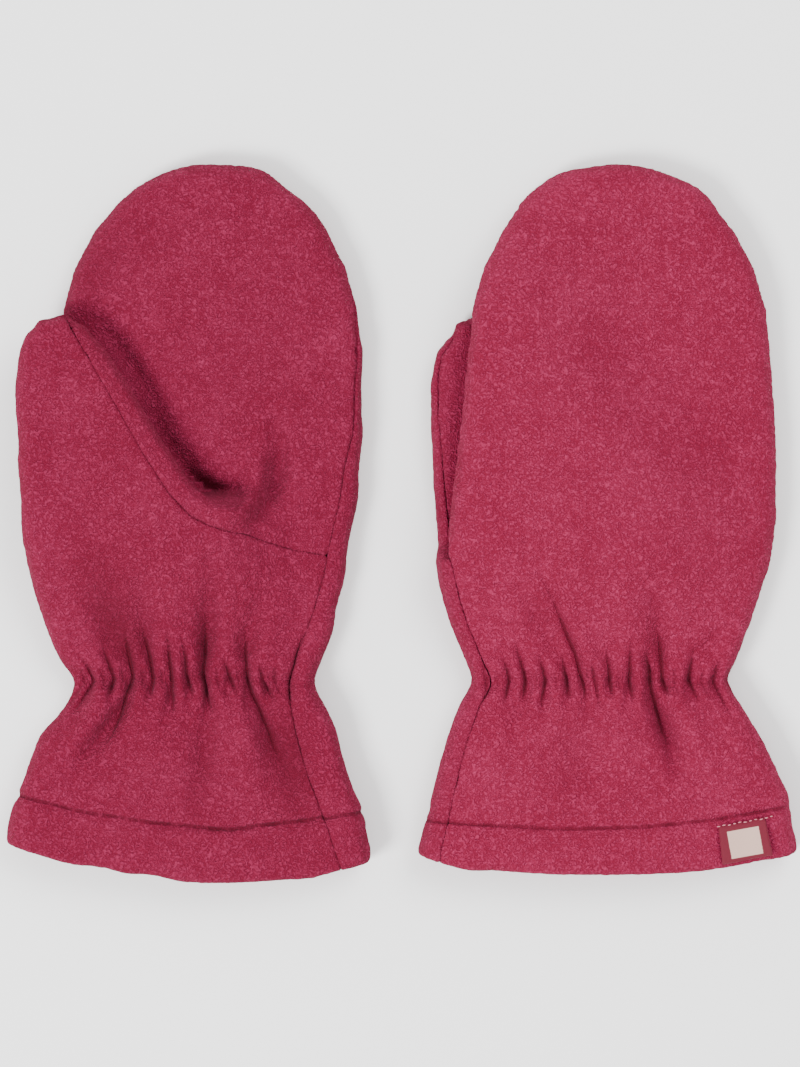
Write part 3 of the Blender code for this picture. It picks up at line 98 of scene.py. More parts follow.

# Soft folds and hollows drawn on the upper side, in millimetres: a path of three
# points, its half width, its height, which is negative for a hollow, and how much painted
# shade darkens its colour. A low one leaves the thumb that lies over it as it is.
FOLD_COLUMNS = ("mitten", "start", "bend", "end", "width", "height", "shade", "low")
FOLD_ROWS = [
    ("left", (-79.6, 53.5), (-70.5, 41.0), (-62.0, 27.0), 3.4, -1.2, 0.12, False),
    ("left", (-67.5, 30.0), (-60.2, 19.5), (-52.0, 10.4), 2.8, -1.0, 0.42, True),
    ("left", (-56.0, 13.0), (-50.2, 9.0), (-43.8, 8.3), 1.9, -2.6, 0.72, True),
    ("left", (-49.5, 3.6), (-40.2, 4.4), (-38.0, 14.5), 2.9, 2.3, 0.0, False),
    ("left", (-38.0, 14.5), (-37.6, 20.5), (-39.5, 29.0), 3.4, 0.6, 0.0, False),
    ("left", (-33.2, 27.0), (-32.4, 12.5), (-38.8, -0.2), 2.5, -1.8, 0.24, False),
    ("left", (-52.0, -52.0), (-52.5, -63.0), (-54.0, -76.0), 4.0, -1.0, 0.42, False),
    ("left", (-88.0, 58.0), (-82.0, 67.0), (-72.0, 76.0), 8.0, -0.2, 0.42, False),
    ("left", (-33.0, -50.0), (-30.0, -62.0), (-27.0, -75.0), 6.0, -0.8, 0.78, False),
    ("left", (-71.5, -37.0), (-75.0, -27.0), (-80.5, -12.0), 6.0, -0.6, 0.78, False),
    ("left", (-62.0, -52.0), (-65.0, -62.0), (-70.0, -73.0), 3.5, 0.8, 0.0, False),
    ("left", (-42.5, -52.0), (-40.0, -62.0), (-37.5, -74.0), 4.0, 0.8, 0.0, False),
    ("left", (-72.5, -44.0), (-77.5, -54.0), (-86.0, -64.0), 1.8, -1.0, 0.30, False),
    ("left", (-77.5, -46.0), (-82.5, -54.0), (-90.0, -62.0), 3.0, 0.8, 0.0, False),
    ("left", (-66.5, -39.0), (-67.6, -30.0), (-69.0, -16.0), 2.5, -1.1, 0.24, False),
    ("left", (-60.0, -38.0), (-60.2, -28.0), (-60.0, -12.0), 3.2, 0.8, 0.0, False),
    ("left", (-52.4, -38.0), (-51.2, -27.0), (-49.6, -10.0), 2.6, -1.3, 0.26, False),
    ("left", (-73.5, -38.0), (-77.0, -30.0), (-82.0, -20.0), 2.4, -0.8, 0.12, False),
    ("left", (-42.8, -38.0), (-40.4, -29.0), (-35.5, -19.0), 2.6, -0.9, 0.10, False),
    ("left", (-37.0, -37.0), (-34.6, -29.0), (-31.0, -20.0), 3.0, 0.7, 0.0, False),
    ("right", (32.0, -18.0), (41.0, -31.0), (47.0, -41.0), 2.8, -1.0, 0.14, False),
    ("right", (38.5, -18.0), (46.5, -30.0), (52.0, -40.0), 3.0, 0.8, 0.0, False),
    ("right", (67.5, -46.0), (71.0, -56.0), (73.0, -65.0), 2.2, -1.6, 0.30, False),
    ("right", (74.0, -47.0), (78.0, -55.0), (80.5, -63.0), 3.2, 0.8, 0.0, False),
    ("right", (48.0, -52.0), (46.0, -62.0), (44.0, -74.0), 6.0, -0.7, 0.30, False),
    ("right", (57.5, -50.0), (58.5, -60.0), (58.5, -72.0), 4.0, 0.6, 0.0, False),
    ("right", (69.0, -39.0), (68.5, -28.0), (66.5, -14.0), 3.0, -0.9, 0.18, False),
    ("right", (61.5, -38.0), (60.5, -28.0), (58.5, -16.0), 3.2, 0.7, 0.0, False),
    ("right", (33.5, -44.0), (31.0, -52.0), (28.0, -60.0), 2.6, -0.7, 0.08, False),
    ("right", (79.0, -41.0), (82.0, -34.0), (85.5, -27.0), 2.4, -0.6, 0.06, False),
]

# The row of stitches above each hem, in millimetres, from the left side to the right.
HEM_LINES = {
    "left": [
        (-102.0, -71.9), (-85.0, -76.2), (-66.0, -79.2),
        (-45.5, -81.1), (-19.2, -77.9), (-8.0, -76.4),
    ],
    "right": [
        (4.0, -78.6), (20.0, -79.8), (42.0, -80.9), (64.0, -80.4), (83.0, -78.6), (101.0, -75.4),
    ],
}

# Nudges that bring the outline to the photograph's, in millimetres: where, and how far.
NUDGE_COLUMNS = ("x", "y", "over", "up")
NUDGE_ROWS = [
    (-37.1, 93.0, 0.5, 1.1),
    (-23.3, 82.0, 0.6, 0.6),
    (-10.5, 45.0, 0.5, 0.0),
    (-10.0, 23.0, 0.6, 0.0),
    (-11.0, 6.0, 0.7, 0.0),
    (-14.6, -15.8, 0.9, 0.0),
    (-18.0, -29.0, 1.1, 0.0),
    (-17.5, -54.8, 0.8, 0.0),
    (-10.5, -77.0, 1.1, 0.0),
    (-7.8, -87.0, 1.6, 0.2),
    (-97.0, 55.0, 0.6, -0.9),
    (-101.5, 22.0, 0.6, 0.0),
    (-100.6, 8.0, 0.5, 0.0),
    (-94.6, -54.8, -1.1, 0.0),
    (-104.0, -79.5, -1.1, 0.0),
    (-78.6, -91.0, 0.0, 1.1),
    (-66.0, -94.0, 0.0, 1.1),
    (-23.5, -93.5, 0.0, -0.6),
    (43.5, 92.5, -0.5, 0.9),
    (37.0, 88.5, -0.9, 0.6),
    (31.5, 84.0, -0.8, 0.3),
    (79.0, 89.0, 1.0, 0.5),
    (99.0, 1.0, 0.6, 0.0),
    (98.0, -10.0, 0.6, 0.0),
    (11.6, 52.0, 1.7, -1.7),
    (102.4, -72.0, 1.1, 0.0),
    (104.0, -85.0, 1.4, -0.4),
    (103.0, -91.5, 0.8, -1.0),
    (8.5, -87.0, -1.4, -1.0),
    (17.0, -91.5, 0.0, -1.4),
]
NUDGE_REACH = 6.0

# The woven label's mesh and the plain pale field on it, in millimetres.
LABEL_CELL = 0.3
LABEL_FIELD = {"half_width": 4.3, "half_height": 3.7, "drop": 0.5}

# Rounds of smoothing for a whole piece, for its level parts and for what lies off its seams.
FACET_ROUNDS = 36
LEVEL_ROUNDS = 70
OFF_SEAM_ROUNDS = 60

# Relief in millimetres: how deep seams and the hem's stitches sink, the cloth's broad and
# smaller waves, and the nap's tufts. Widths are those of the soft profile across each; the
# seams' last width is that of the painted shade along them.
SEAM_REACH = 3.1
SEAM_SINK, SEAM_WIDTH, SEAM_SHADE_WIDTH = 0.32, 1.5, 1.2
HEM_SINK, HEM_WIDTH, HEM_LIP = 0.34, 0.65, 0.05
BROAD_WAVE, BROAD_STEP = 0.2, 17.0
SMALL_WAVE, SMALL_STEP = 0.16, 9.0
TUFT_HEIGHT, TUFT_STEP, FINE_TUFT_STEP, TUFT_MIDDLE = 0.17, 2.1, 1.2, 0.45
FOLD_GAIN = 1.6

# Gathers: how much further they run than their tables say, and how far those of the
# underside are moved along the elastic, in millimetres.
REACH_UP, REACH_DOWN = 1.35, 1.2
UNDERSIDE_SHIFT = 2.3

# Noise in the cloth's material, in lumps to the metre, and the height of its bump in metres.
NAP_SCALE, FINE_NAP_SCALE, PATCH_SCALE = 950, 1600, 55
NAP_BUMP = 0.00055

# The label's weave, in threads to the millimetre times two pi, and its stitches' sizes.
WARP_TURNS, WEFT_TURNS = 18.0, 24.0
LABEL_STITCHES, STITCH_WIDTH = 11, 0.34
FIELD_EDGE = 9.0

# Colours as linear red, green and blue: the fleece's ground, the lighter colour of its tufts,
# which is partly painted light, and its painted shade in hollows, the label's dark and pale
# weave, and the sewing thread.
FLEECE_BASE = (0.185, 0.0085, 0.030)
FLEECE_TIP = (0.325, 0.028, 0.083)
FLEECE_PAINTED_SHADE = (0.085, 0.0045, 0.013)
LABEL_GROUND = (0.095, 0.003, 0.012)
LABEL_GROUND_LIGHT = (0.15, 0.008, 0.024)
LABEL_PALE = (0.44, 0.27, 0.22)
LABEL_PALE_LIGHT = (0.62, 0.42, 0.36)
THREAD_DARK = (0.30, 0.05, 0.08)
THREAD_LIGHT = (0.55, 0.20, 0.23)

# The floor's half width and height, and the camera's lens and place, in metres and, for the
# lens, millimetres.
FLOOR_HALF, FLOOR_DROP = 2.0, -0.0004
CAMERA_LENS = 200.0
CAMERA_HEIGHT = 1.580
FRAME_CENTRE_Y = -0.0028


def rows_of(columns, rows):
    """Table rows as dictionaries with named columns."""
    return [dict(zip(columns, row)) for row in rows]


PANELS = rows_of(PANEL_COLUMNS, PANEL_ROWS)
FOLDS = rows_of(FOLD_COLUMNS, FOLD_ROWS)
NUDGES = rows_of(NUDGE_COLUMNS, NUDGE_ROWS)
CREASES = {name: rows_of(CREASE_COLUMNS, rows) for name, rows in CREASE_ROWS.items()}


def remeshed(node, name, cell):
    """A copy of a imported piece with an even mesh, so that it can take fine relief."""
    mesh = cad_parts[node].data.copy()
    mesh.materials.clear()
    obj = bpy.data.objects.new(name, mesh)
    bpy.context.scene.collection.objects.link(obj)
    cells = obj.modifiers.new("cells", "REMESH")
    cells.mode = "VOXEL"
    cells.voxel_size = cell * MM
    cells.use_smooth_shade = True
    graph = bpy.context.evaluated_depsgraph_get()
    even = bpy.data.meshes.new_from_object(obj.evaluated_get(graph))
    obj.modifiers.remove(cells)
    obj.data = even
    bpy.data.meshes.remove(mesh)
    return obj


def points_of(mesh):
    """Corner positions in millimetres."""
    flat = np.zeros(len(mesh.vertices) * 3)
    mesh.vertices.foreach_get("co", flat)
    return flat.reshape(-1, 3) / MM


def set_points(mesh, points):
    """Write corner positions given in millimetres."""
    mesh.vertices.foreach_set("co", (points * MM).astype(np.float32).ravel())
    mesh.update()


def normals_of(mesh):
    """Way out of the surface at each corner."""
    flat = np.zeros(len(mesh.vertices) * 3)
    mesh.vertex_normals.foreach_get("vector", flat)
    return flat.reshape(-1, 3)


def edges_of(mesh):
    """Both ends of each edge."""
    flat = np.zeros(len(mesh.edges) * 2, int)
    mesh.edges.foreach_get("vertices", flat)
    return flat.reshape(-1, 2)


def averaged(values, edges, counts):
    """Mean of each corner's neighbours."""
    total = np.zeros_like(values)
    for axis in range(values.shape[1]):
        total[:, axis] = np.bincount(edges[:, 0], values[edges[:, 1], axis], len(values))
        total[:, axis] += np.bincount(edges[:, 1], values[edges[:, 0], axis], len(values))
    return total / counts[:, None]


def smoothed(points, edges, rounds, share=1.0, pull=0.6, push=-0.62):
    """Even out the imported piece's flat facets and keep its larger form."""
    counts = np.bincount(edges.ravel(), minlength=len(points)).astype(float)
    for _ in range(rounds):
        points = points + share * pull * (averaged(points, edges, counts) - points)
        points = points + share * push * (averaged(points, edges, counts) - points)
    return points


def ramp(values, low, high):
    """Ease from 0 at low to 1 at high."""
    f = np.clip((values - low) / (high - low), 0, 1)
    return f * f * (3 - 2 * f)


def bell(values, width):
    """A soft profile: 1 at zero, fading within about a width."""
    return np.exp(-((values / width) ** 2))


def lumps(points, step, seed):
    """Smooth lumps between -1 and 1, about step wide, the same at each run."""
    scaled = points / step
    base = np.floor(scaled).astype(np.int64)
    part = scaled - base
    part = part * part * (3 - 2 * part)
    total = np.zeros(len(points))
    for corner in range(8):
        offset = np.array([(corner >> axis) & 1 for axis in range(points.shape[1])])
        cell = base + offset
        key = cell[:, 0] * 73856093 ^ cell[:, 1] * 19349663 ^ cell[:, 2] * 83492791
        key = (key ^ seed * 40503) & 0xFFFFFFFF
        key = ((key ^ key >> 15) * 2246822519) & 0xFFFFFFFF
        key = ((key ^ key >> 13) * 3266489917) & 0xFFFFFFFF
        value = ((key ^ key >> 16) & 0xFFFF) / 32767.5 - 1.0
        total += value * np.prod(np.where(offset, part, 1 - part), axis=1)
    return total


def line_distance(points, path):
    """Distance in plan to a path of points, and how far along it, from 0 to 1."""
    best = np.full(len(points), 1e9)
    along = np.zeros(len(points))
    count = len(path) - 1
    for i in range(count):
        start = np.array(path[i], float)
        way = np.array(path[i + 1], float) - start
        f = np.clip(((points[:, :2] - start) @ way) / (way @ way), 0, 1)
        gap = np.linalg.norm(points[:, :2] - start - f[:, None] * way, axis=1)
        closer = gap < best
        best[closer] = gap[closer]
        along[closer] = (i + f[closer]) / count
    return best, along


def bent_path(start, bend, end, steps=8):
    """A smooth path through three points."""
    start, bend, end = (np.array(p, float) for p in (start, bend, end))
    control = 2 * bend - (start + end) / 2
    path = []
    for i in range(steps + 1):
        f = i / steps
        path.append((1 - f) ** 2 * start + 2 * f * (1 - f) * control + f * f * end)
    return path


class Middle:
    """Height of a mitten's middle over each spot of its plan."""

    def __init__(self, clouds, cell=2.0):
        points = np.vstack(clouds)
        self.cell = cell
        self.low = points[:, :2].min(axis=0) - cell
        size = np.ceil((points[:, :2].max(axis=0) + cell - self.low) / cell).astype(int) + 1
        self.size = size
        keys = self.keys(points)
        top = np.full(size[0] * size[1], -1e9)
        base = np.full(size[0] * size[1], 1e9)
        np.maximum.at(top, keys, points[:, 2])
        np.minimum.at(base, keys, points[:, 2])
        empty = top < -1e8
        mid = np.where(empty, np.nan, (top + base) / 2).reshape(size)
        for _ in range(4):
            stack = [np.roll(mid, shift, axis) for shift in (-1, 1) for axis in (0, 1)] + [mid]
            counts = np.sum([~np.isnan(s) for s in stack], axis=0)
            sums = np.nansum(stack, axis=0)
            mid = np.where(counts > 0, sums / np.maximum(counts, 1), np.nan)
        self.mid = np.where(np.isnan(mid), 8.0, mid).ravel()

    def keys(self, points):
        """The plan's cell that each point is over."""
        cells = np.clip(((points[:, :2] - self.low) / self.cell).astype(int), 0, self.size - 1)
        return cells[:, 0] * self.size[1] + cells[:, 1]

    def at(self, points):
        """The middle's height at each point."""
        return self.mid[self.keys(points)]


def crease_relief(points, mitten, side):
    """Depth of the gathers at the elastic, painted shade in their valleys, and their narrow line.
    """
    elastic = ELASTICS[mitten]
    shift = np.where(side > 0, 0.0, UNDERSIDE_SHIFT)
    across = (points[:, 0] - elastic["x"]) / elastic["half"]
    above = points[:, 1] - elastic["y"] - elastic["bow"] * across**2
    depth = np.zeros(len(points))
    painted_valley_shade = np.zeros(len(points))
    line = np.full(len(points), 9.0)
    strength = np.zeros(len(points))
    wander = 0.3 * lumps(points * (1, 1, 0), 5.0, 11)
    for crease in CREASES[mitten]:
        up = above / (REACH_UP * crease["up"])
        down = -above / (REACH_DOWN * crease["down"])
        t = np.where(above > 0, up, down)
        lean = np.where(above > 0, crease["lean_up"], crease["lean_down"] + 0.5)
        centre = crease["x"] + shift + 0.25 + lean * t * (0.75 + 0.25 * t) + wander
        fade = 1 - ramp(t, 0.25, 1.0)
        long_fade = 1 - ramp(t, 0.3, 1.6)
        gap = np.abs(points[:, 0] - centre)
        core = crease["width"] * (0.85 + 0.55 * t)
        broad = 1.7 * crease["width"] + 1.7 * t
        sharp = fade * bell(gap, core)
        soft = long_fade * bell(gap, broad)
        depth += crease["depth"] * (0.85 * sharp + 0.8 * soft)
        # Painted shade in the valley's narrow core.
        painted_valley_shade = np.maximum(painted_valley_shade, crease["depth"] / 2.2 * sharp)
        share = min(crease["depth"] / 1.3, 1.0) * (1 - ramp(t, 0.35, 1.0))
        share = share * bell(gap, 1.4)
        nearest = share > strength
        line[nearest] = (points[:, 0] - centre)[nearest]
        strength[nearest] = share[nearest]
    # Along the elastic the cloth sinks a little and takes a little painted shade.
    band = bell(above, 1.1) * ramp(1.06 - np.abs(across), 0.0, 0.1)
    puff = np.exp(-((np.abs(above) - 4.0) / 3.2) ** 2) * ramp(1.02 - np.abs(across), 0.0, 0.12)
    return depth + 0.4 * band - 0.75 * puff, painted_valley_shade + 0.1 * band, line, strength


def fold_relief(points, mitten):
    """Height of the soft folds drawn on the upper side, and the painted shade in them."""
    height = np.zeros(len(points))
    painted_fold_shade = np.zeros(len(points))
    under = 1 - ramp(points[:, 2], 14.0, 17.0)
    dimmed = 1 - ramp(points[:, 2], 17.0, 19.5)
    for fold in FOLDS:
        if fold["mitten"] == mitten:
            path = bent_path(fold["start"], fold["bend"], fold["end"])
            gap, along = line_distance(points, path)
            fade = 0.35 + 0.65 * np.sin(np.pi * np.clip(along, 0.04, 0.96))
            share = fade * bell(gap, fold["width"])
            height += FOLD_GAIN * fold["height"] * share * (under if fold["low"] else 1.0)
            # Painted shade of the fold, which a low fold keeps off the thumb that lies over it.
            painted_fold_shade += fold["shade"] * share * (dimmed if fold["low"] else 1.0)
    return height, painted_fold_shade


def nudged(points):
    """Bring the outline to the photograph's."""
    moved = points.copy()
    for nudge in NUDGES:
        gap = np.hypot(points[:, 0] - nudge["x"], points[:, 1] - nudge["y"])
        share = bell(gap, NUDGE_REACH)
        moved[:, 0] += nudge["over"] * share
        moved[:, 1] += nudge["up"] * share
    return moved


def cell_keys(points, cell, offset=(0, 0, 0)):
    """One number for the cell of space that each point is in."""
    cells = np.floor(points / cell).astype(np.int64) + 4096 + np.array(offset)
    return (cells[:, 0] * 8192 + cells[:, 1]) * 8192 + cells[:, 2]


def seam_links(points, others, reach=3.2):
    """Nearest point of the neighbouring panels for each corner, and how far off it is."""
    gap = np.full(len(points), 1e3)
    target = points.copy()
    around = [(i, j, k) for i in (-1, 0, 1) for j in (-1, 0, 1) for k in (-1, 0, 1)]
    near_keys = np.unique(np.concatenate([np.unique(cell_keys(others, reach, o)) for o in around]))
    ids = np.nonzero(np.isin(cell_keys(points, reach), near_keys))[0]
    own_keys = np.unique(np.concatenate([np.unique(cell_keys(points, reach, o)) for o in around]))
    kept = others[np.isin(cell_keys(others, reach), own_keys)]
    tree = KDTree(len(kept))
    for i, p in enumerate(kept):
        tree.insert(p, i)
    tree.balance()
    for i in ids:
        spot, _, distance = tree.find(points[i])
        gap[i] = distance
        target[i] = spot
    return gap, target


def rim_moves(points, normals, out, gap, target):
    """How far each corner near a seam moves to its neighbour, and which way the cloth faces."""
    near = np.nonzero(gap < SEAM_REACH)[0]
    broad = np.nonzero((gap > SEAM_REACH) & (out > 0.6))[0][::3]
    tree = KDTree(len(broad))
    for i, corner in enumerate(broad):
        tree.insert(points[corner], i)
    tree.balance()
    facing = np.array([normals[broad[tree.find(points[i])[1]]] for i in near])
    way = target[near] - points[near]
    rise = (way * facing).sum(axis=1)
    way = way - rise[:, None] * facing
    length = np.maximum(np.linalg.norm(way, axis=1), 1e-4)
    half = length / 2
    kept = half * ramp(half, 0.7, 1.55) - 0.08
    share = 1 - ramp(np.abs(rise), 1.0, 2.2)
    moves = np.zeros_like(points)
    moves[near] = way / length[:, None] * ((half - kept) * share)[:, None]
    level = normals.copy()
    level[near] = facing
    return moves, level


def outward(points, normals, middle):
    """How far each corner faces out of its mitten, from -1 to 1."""
    centre = np.array([points[:, 0].mean(), 0.0])
    side = np.clip((points[:, 2] - middle.at(points)) / 2.0, -1, 1)
    flat = points[:, :2] - centre
    flat[:, 1] *= 0.35
    flat /= np.maximum(np.linalg.norm(flat, axis=1), 1e-6)[:, None]
    return normals[:, 2] * side + (normals[:, :2] * flat).sum(axis=1) * 0.8


def soften_broad(points, edges, normals, rounds):
    """Extra smoothing where the cloth is broad and level."""
    share = ramp(np.abs(normals[:, 2:3]), 0.86, 0.97)
    return smoothed(points, edges, rounds, share=share)


print("scene: load")
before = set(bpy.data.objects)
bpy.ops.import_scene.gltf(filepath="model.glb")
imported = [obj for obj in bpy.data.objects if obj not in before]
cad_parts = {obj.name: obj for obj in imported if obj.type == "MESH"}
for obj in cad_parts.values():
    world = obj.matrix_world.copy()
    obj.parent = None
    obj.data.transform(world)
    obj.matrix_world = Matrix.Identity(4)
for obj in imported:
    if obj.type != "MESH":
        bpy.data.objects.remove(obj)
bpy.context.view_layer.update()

cloth = {}
for panel in PANELS:
    obj = remeshed(panel["node"], "cloth_" + panel["node"], panel["cell"])
    edges = edges_of(obj.data)
    points = smoothed(points_of(obj.data), edges, FACET_ROUNDS)
    set_points(obj.data, points)
    points = soften_broad(points, edges, normals_of(obj.data), LEVEL_ROUNDS)
    points = nudged(points)
    set_points(obj.data, points)
    cloth[panel["node"]] = {"obj": obj, "edges": edges, "points": points, "mitten": panel["mitten"]}

middles = {}
for mitten in ELASTICS:
    middles[mitten] = Middle([c["points"] for c in cloth.values() if c["mitten"] == mitten])

print("scene: seams")
for name, piece in cloth.items():
    others = [c["points"] for n, c in cloth.items() if c["mitten"] == piece["mitten"] and n != name]
    piece["gap"], piece["target"] = seam_links(piece["points"], np.vstack(others))
for piece in cloth.values():
    away = ramp(piece["gap"], 2.2, 5.0)[:, None]
    piece["points"] = smoothed(piece["points"], piece["edges"], OFF_SEAM_ROUNDS, share=away)
    set_points(piece["obj"].data, piece["points"])


def store(mesh, name, values):
    """Keep a value at each corner for the material to read."""
    mesh.attributes.new(name, "FLOAT", "POINT").data.foreach_set("value", values.astype(np.float32))


def hem_relief(points, mitten, out):
    """The hem's stitches: how far each corner sinks, the painted shade along them, and their line.
    """
    gap, _ = line_distance(points, HEM_LINES[mitten])
    facing = ramp(out, 0.2, 0.6)
    sunk = bell(gap, HEM_WIDTH) * (0.75 + 0.35 * lumps(points, 2.2, 8)) * facing
    lip = bell(gap - 2.2, 1.6) * facing
    line_x, line_y = np.array(HEM_LINES[mitten]).T
    line = points[:, 1] - np.interp(points[:, 0], line_x, line_y)
    strength = bell(gap, 1.6) * (0.75 + 0.3 * lumps(points, 2.2, 8))
    return HEM_SINK * sunk - HEM_LIP * lip, sunk, gap < 3.0, line, strength


def napped(points, moved, normals, out):
    """Raise the curled tufts of the napped surface, less on the inside of the cloth."""
    curls = np.abs(lumps(points, TUFT_STEP, 21)) + 0.6 * np.abs(lumps(points, FINE_TUFT_STEP, 22))
    height = TUFT_HEIGHT * (curls - TUFT_MIDDLE) * (0.35 + 0.65 * ramp(out, -0.2, 0.3))
    moved = moved + normals * height[:, None]
    moved[:, 2] = np.maximum(moved[:, 2], 0.0)
    return moved, curls


print("scene: relief")
for name, piece in cloth.items():
    points, mitten, gap = piece["points"], piece["mitten"], piece["gap"]
    mesh = piece["obj"].data
    normals = normals_of(mesh)
    side = np.clip((points[:, 2] - middles[mitten].at(points)) / 2.2, -1, 1)
    out = outward(points, normals, middles[mitten])

    # Close the seams: each rim comes up to its neighbour along the cloth, and its rounded
    # corner with it, so that a shallow crease is left and no slot.
    moves, level = rim_moves(points, normals, out, gap, piece["target"])
    moved = points + moves

    # Sink the cloth along them, a little unevenly, as a sewn seam does.
    pucker = 0.8 + 0.5 * lumps(points, 2.6, 5)
    groove = np.where(gap < 3.2, bell(gap, SEAM_WIDTH), 0) * ramp(out, 0.1, 0.5)
    moved -= level * (SEAM_SINK * groove * pucker)[:, None]

    # Gathers, folds and the uneven lie of the cloth.
    depth, painted_valley_shade, line, strength = crease_relief(points, mitten, side)
    fold, fold_painted_shade = fold_relief(points, mitten)
    plan = points * (1, 1, 0)
    wave = BROAD_WAVE * lumps(plan, BROAD_STEP, 3) + SMALL_WAVE * lumps(plan, SMALL_STEP, 4)
    moved[:, 2] += (wave - depth) * side * ramp(points[:, 2], 1.2, 4.0) + fold * np.clip(side, 0, 1)

    # The row of stitches above the hem.
    hem_sink, hem_painted_shade, on_hem, hem_line, hem_strength = hem_relief(points, mitten, out)
    moved -= normals * hem_sink[:, None]
    line[on_hem] = hem_line[on_hem]
    strength[on_hem] = hem_strength[on_hem]

    set_points(mesh, moved)
    normals = normals_of(mesh)
    normals[gap < 1.6] = level[gap < 1.6]
    moved, curls = napped(points, moved, normals, out)
    set_points(mesh, moved)

    # Painted shade along the seams, a little uneven.
    seam_painted_shade = 0.42 * pucker * np.where(gap < 3.0, bell(gap, SEAM_SHADE_WIDTH), 0)
    # Painted shade in the gathers' valleys, along the elastic, in the drawn folds, along the hem's
    # stitches and along the seams.
    painted_hollow_shade = painted_valley_shade + fold_painted_shade * np.clip(side, 0, 1) + 0.5 * hem_painted_shade + seam_painted_shade
    store(mesh, "painted_hollow_shade", np.clip(painted_hollow_shade, 0, 1))
    store(mesh, "curl", curls)
    store(mesh, "line", line)
    store(mesh, "strength", np.clip(strength * ramp(out, 0.0, 0.5), 0, 1))
    piece["points"] = moved
    print(name, len(mesh.vertices), len(mesh.polygons))


def maths(tree, operation, first, second=None, third=None, clamp=False):
    """One calculation with sockets and numbers."""
    made = tree.nodes.new("ShaderNodeMath")
    made.operation = operation
    made.use_clamp = clamp
    for i, value in enumerate((first, second, third)):
        if value is None:
            continue
        if isinstance(value, (int, float)):
            made.inputs[i].default_value = value
        else:
            tree.links.new(value, made.inputs[i])
    return made.outputs[0]


def blended(tree, share, first, second):
    """Mix two colours, which are sockets or plain values."""
    made = tree.nodes.new("ShaderNodeMix")
    made.data_type = "RGBA"
    tree.links.new(share, made.inputs[0])
    for i, value in ((6, first), (7, second)):
        if isinstance(value, tuple):
            made.inputs[i].default_value = value
        else:
            tree.links.new(value, made.inputs[i])
    return made.outputs[2]


def grain(tree, place, scale, detail=2.0, distortion=0.0):
    """Plain noise at so many lumps to the metre."""
    made = tree.nodes.new("ShaderNodeTexNoise")
    made.inputs["Scale"].default_value = scale
    made.inputs["Detail"].default_value = detail
    made.inputs["Roughness"].default_value = 0.6
    made.inputs["Distortion"].default_value = distortion
    tree.links.new(place, made.inputs["Vector"])
    return made.outputs["Fac"]


def veined(tree, noise, contrast):
    """Noise made into light patches with thin dark lines where it crosses its middle value."""
    off_middle = maths(tree, "ABSOLUTE", maths(tree, "SUBTRACT", noise, 0.5))
    return maths(tree, "MULTIPLY", off_middle, contrast, clamp=True)


def attribute(tree, name):
    """A value stored at the mesh's corners."""
    made = tree.nodes.new("ShaderNodeAttribute")
    made.attribute_name = name
    return made.outputs["Fac"]


def shade(colour, tone):
    """A colour made lighter or darker."""
    return tuple(c * tone for c in colour) + (1.0,)


def fleece_material(name, tone):
    """Napped polyester fleece: small curled tufts, a soft sheen, and a mottled colour with painted
    light on its tufts and painted shade in its hollows.
    """
    material = bpy.data.materials.new(name)
    material.use_nodes = True
    tree = material.node_tree
    shader = tree.nodes["Principled BSDF"]
    place = tree.nodes.new("ShaderNodeTexCoord").outputs["Object"]
    painted_hollow_shade = attribute(tree, "painted_hollow_shade")
    curl = attribute(tree, "curl")

    # A narrow line runs along each gather's valley and along the hem's stitches; it sinks the bump
    # and darkens the colour as painted shade.
    line = attribute(tree, "line")
    core = maths(tree, "MULTIPLY_ADD", maths(tree, "MULTIPLY", line, line), -2.6, 1.0, clamp=True)
    core = maths(tree, "MULTIPLY", maths(tree, "MULTIPLY", core, core), attribute(tree, "strength"))

    # Thin dark lines between tufts are where smooth noise crosses its middle value; they sink the
    # bump, and below they also darken the colour as painted shade.
    coarse = veined(tree, grain(tree, place, NAP_SCALE, 1.5, 0.15), 5.5)
    fine = veined(tree, grain(tree, place, FINE_NAP_SCALE, 1.5, 0.1), 5.0)
    height = maths(tree, "MULTIPLY_ADD", coarse, 0.62, maths(tree, "MULTIPLY", fine, 0.38))
    bump = tree.nodes.new("ShaderNodeBump")
    bump.inputs["Strength"].default_value = 0.9
    bump.inputs["Distance"].default_value = NAP_BUMP
    tree.links.new(maths(tree, "MULTIPLY_ADD", core, -1.2, height), bump.inputs["Height"])
    tree.links.new(bump.outputs["Normal"], shader.inputs["Normal"])

    patch = grain(tree, place, PATCH_SCALE, 3.0)
    # The colour is lighter on the raised parts of the bump and the tufts and darker between them,
    # painted light and shade, and the broad patches vary it at random.
    nap_light_and_mottle = maths(tree, "MULTIPLY_ADD", height, 0.85, maths(tree, "MULTIPLY", curl, 0.18))
    nap_light_and_mottle = maths(tree, "ADD", nap_light_and_mottle, maths(tree, "MULTIPLY_ADD", patch, 0.42, -0.37), clamp=True)
    colour = blended(tree, nap_light_and_mottle, shade(FLEECE_BASE, tone * 0.78), shade(FLEECE_TIP, tone))
    # Painted shade: the narrow lines and the stored hollow shade blend the colour toward the shade
    # colour.
    dark = maths(tree, "MULTIPLY_ADD", core, 0.6, maths(tree, "MULTIPLY", painted_hollow_shade, 0.75), clamp=True)
    colour = blended(tree, dark, colour, shade(FLEECE_PAINTED_SHADE, tone))
    tree.links.new(colour, shader.inputs["Base Color"])
    shader.inputs["Roughness"].default_value = 0.92
    shader.inputs["Specular IOR Level"].default_value = 0.05
    shader.inputs["Sheen Weight"].default_value = 0.06
    shader.inputs["Sheen Roughness"].default_value = 0.45
    shader.inputs["Sheen Tint"].default_value = (1.0, 0.25, 0.42, 1)
    return material


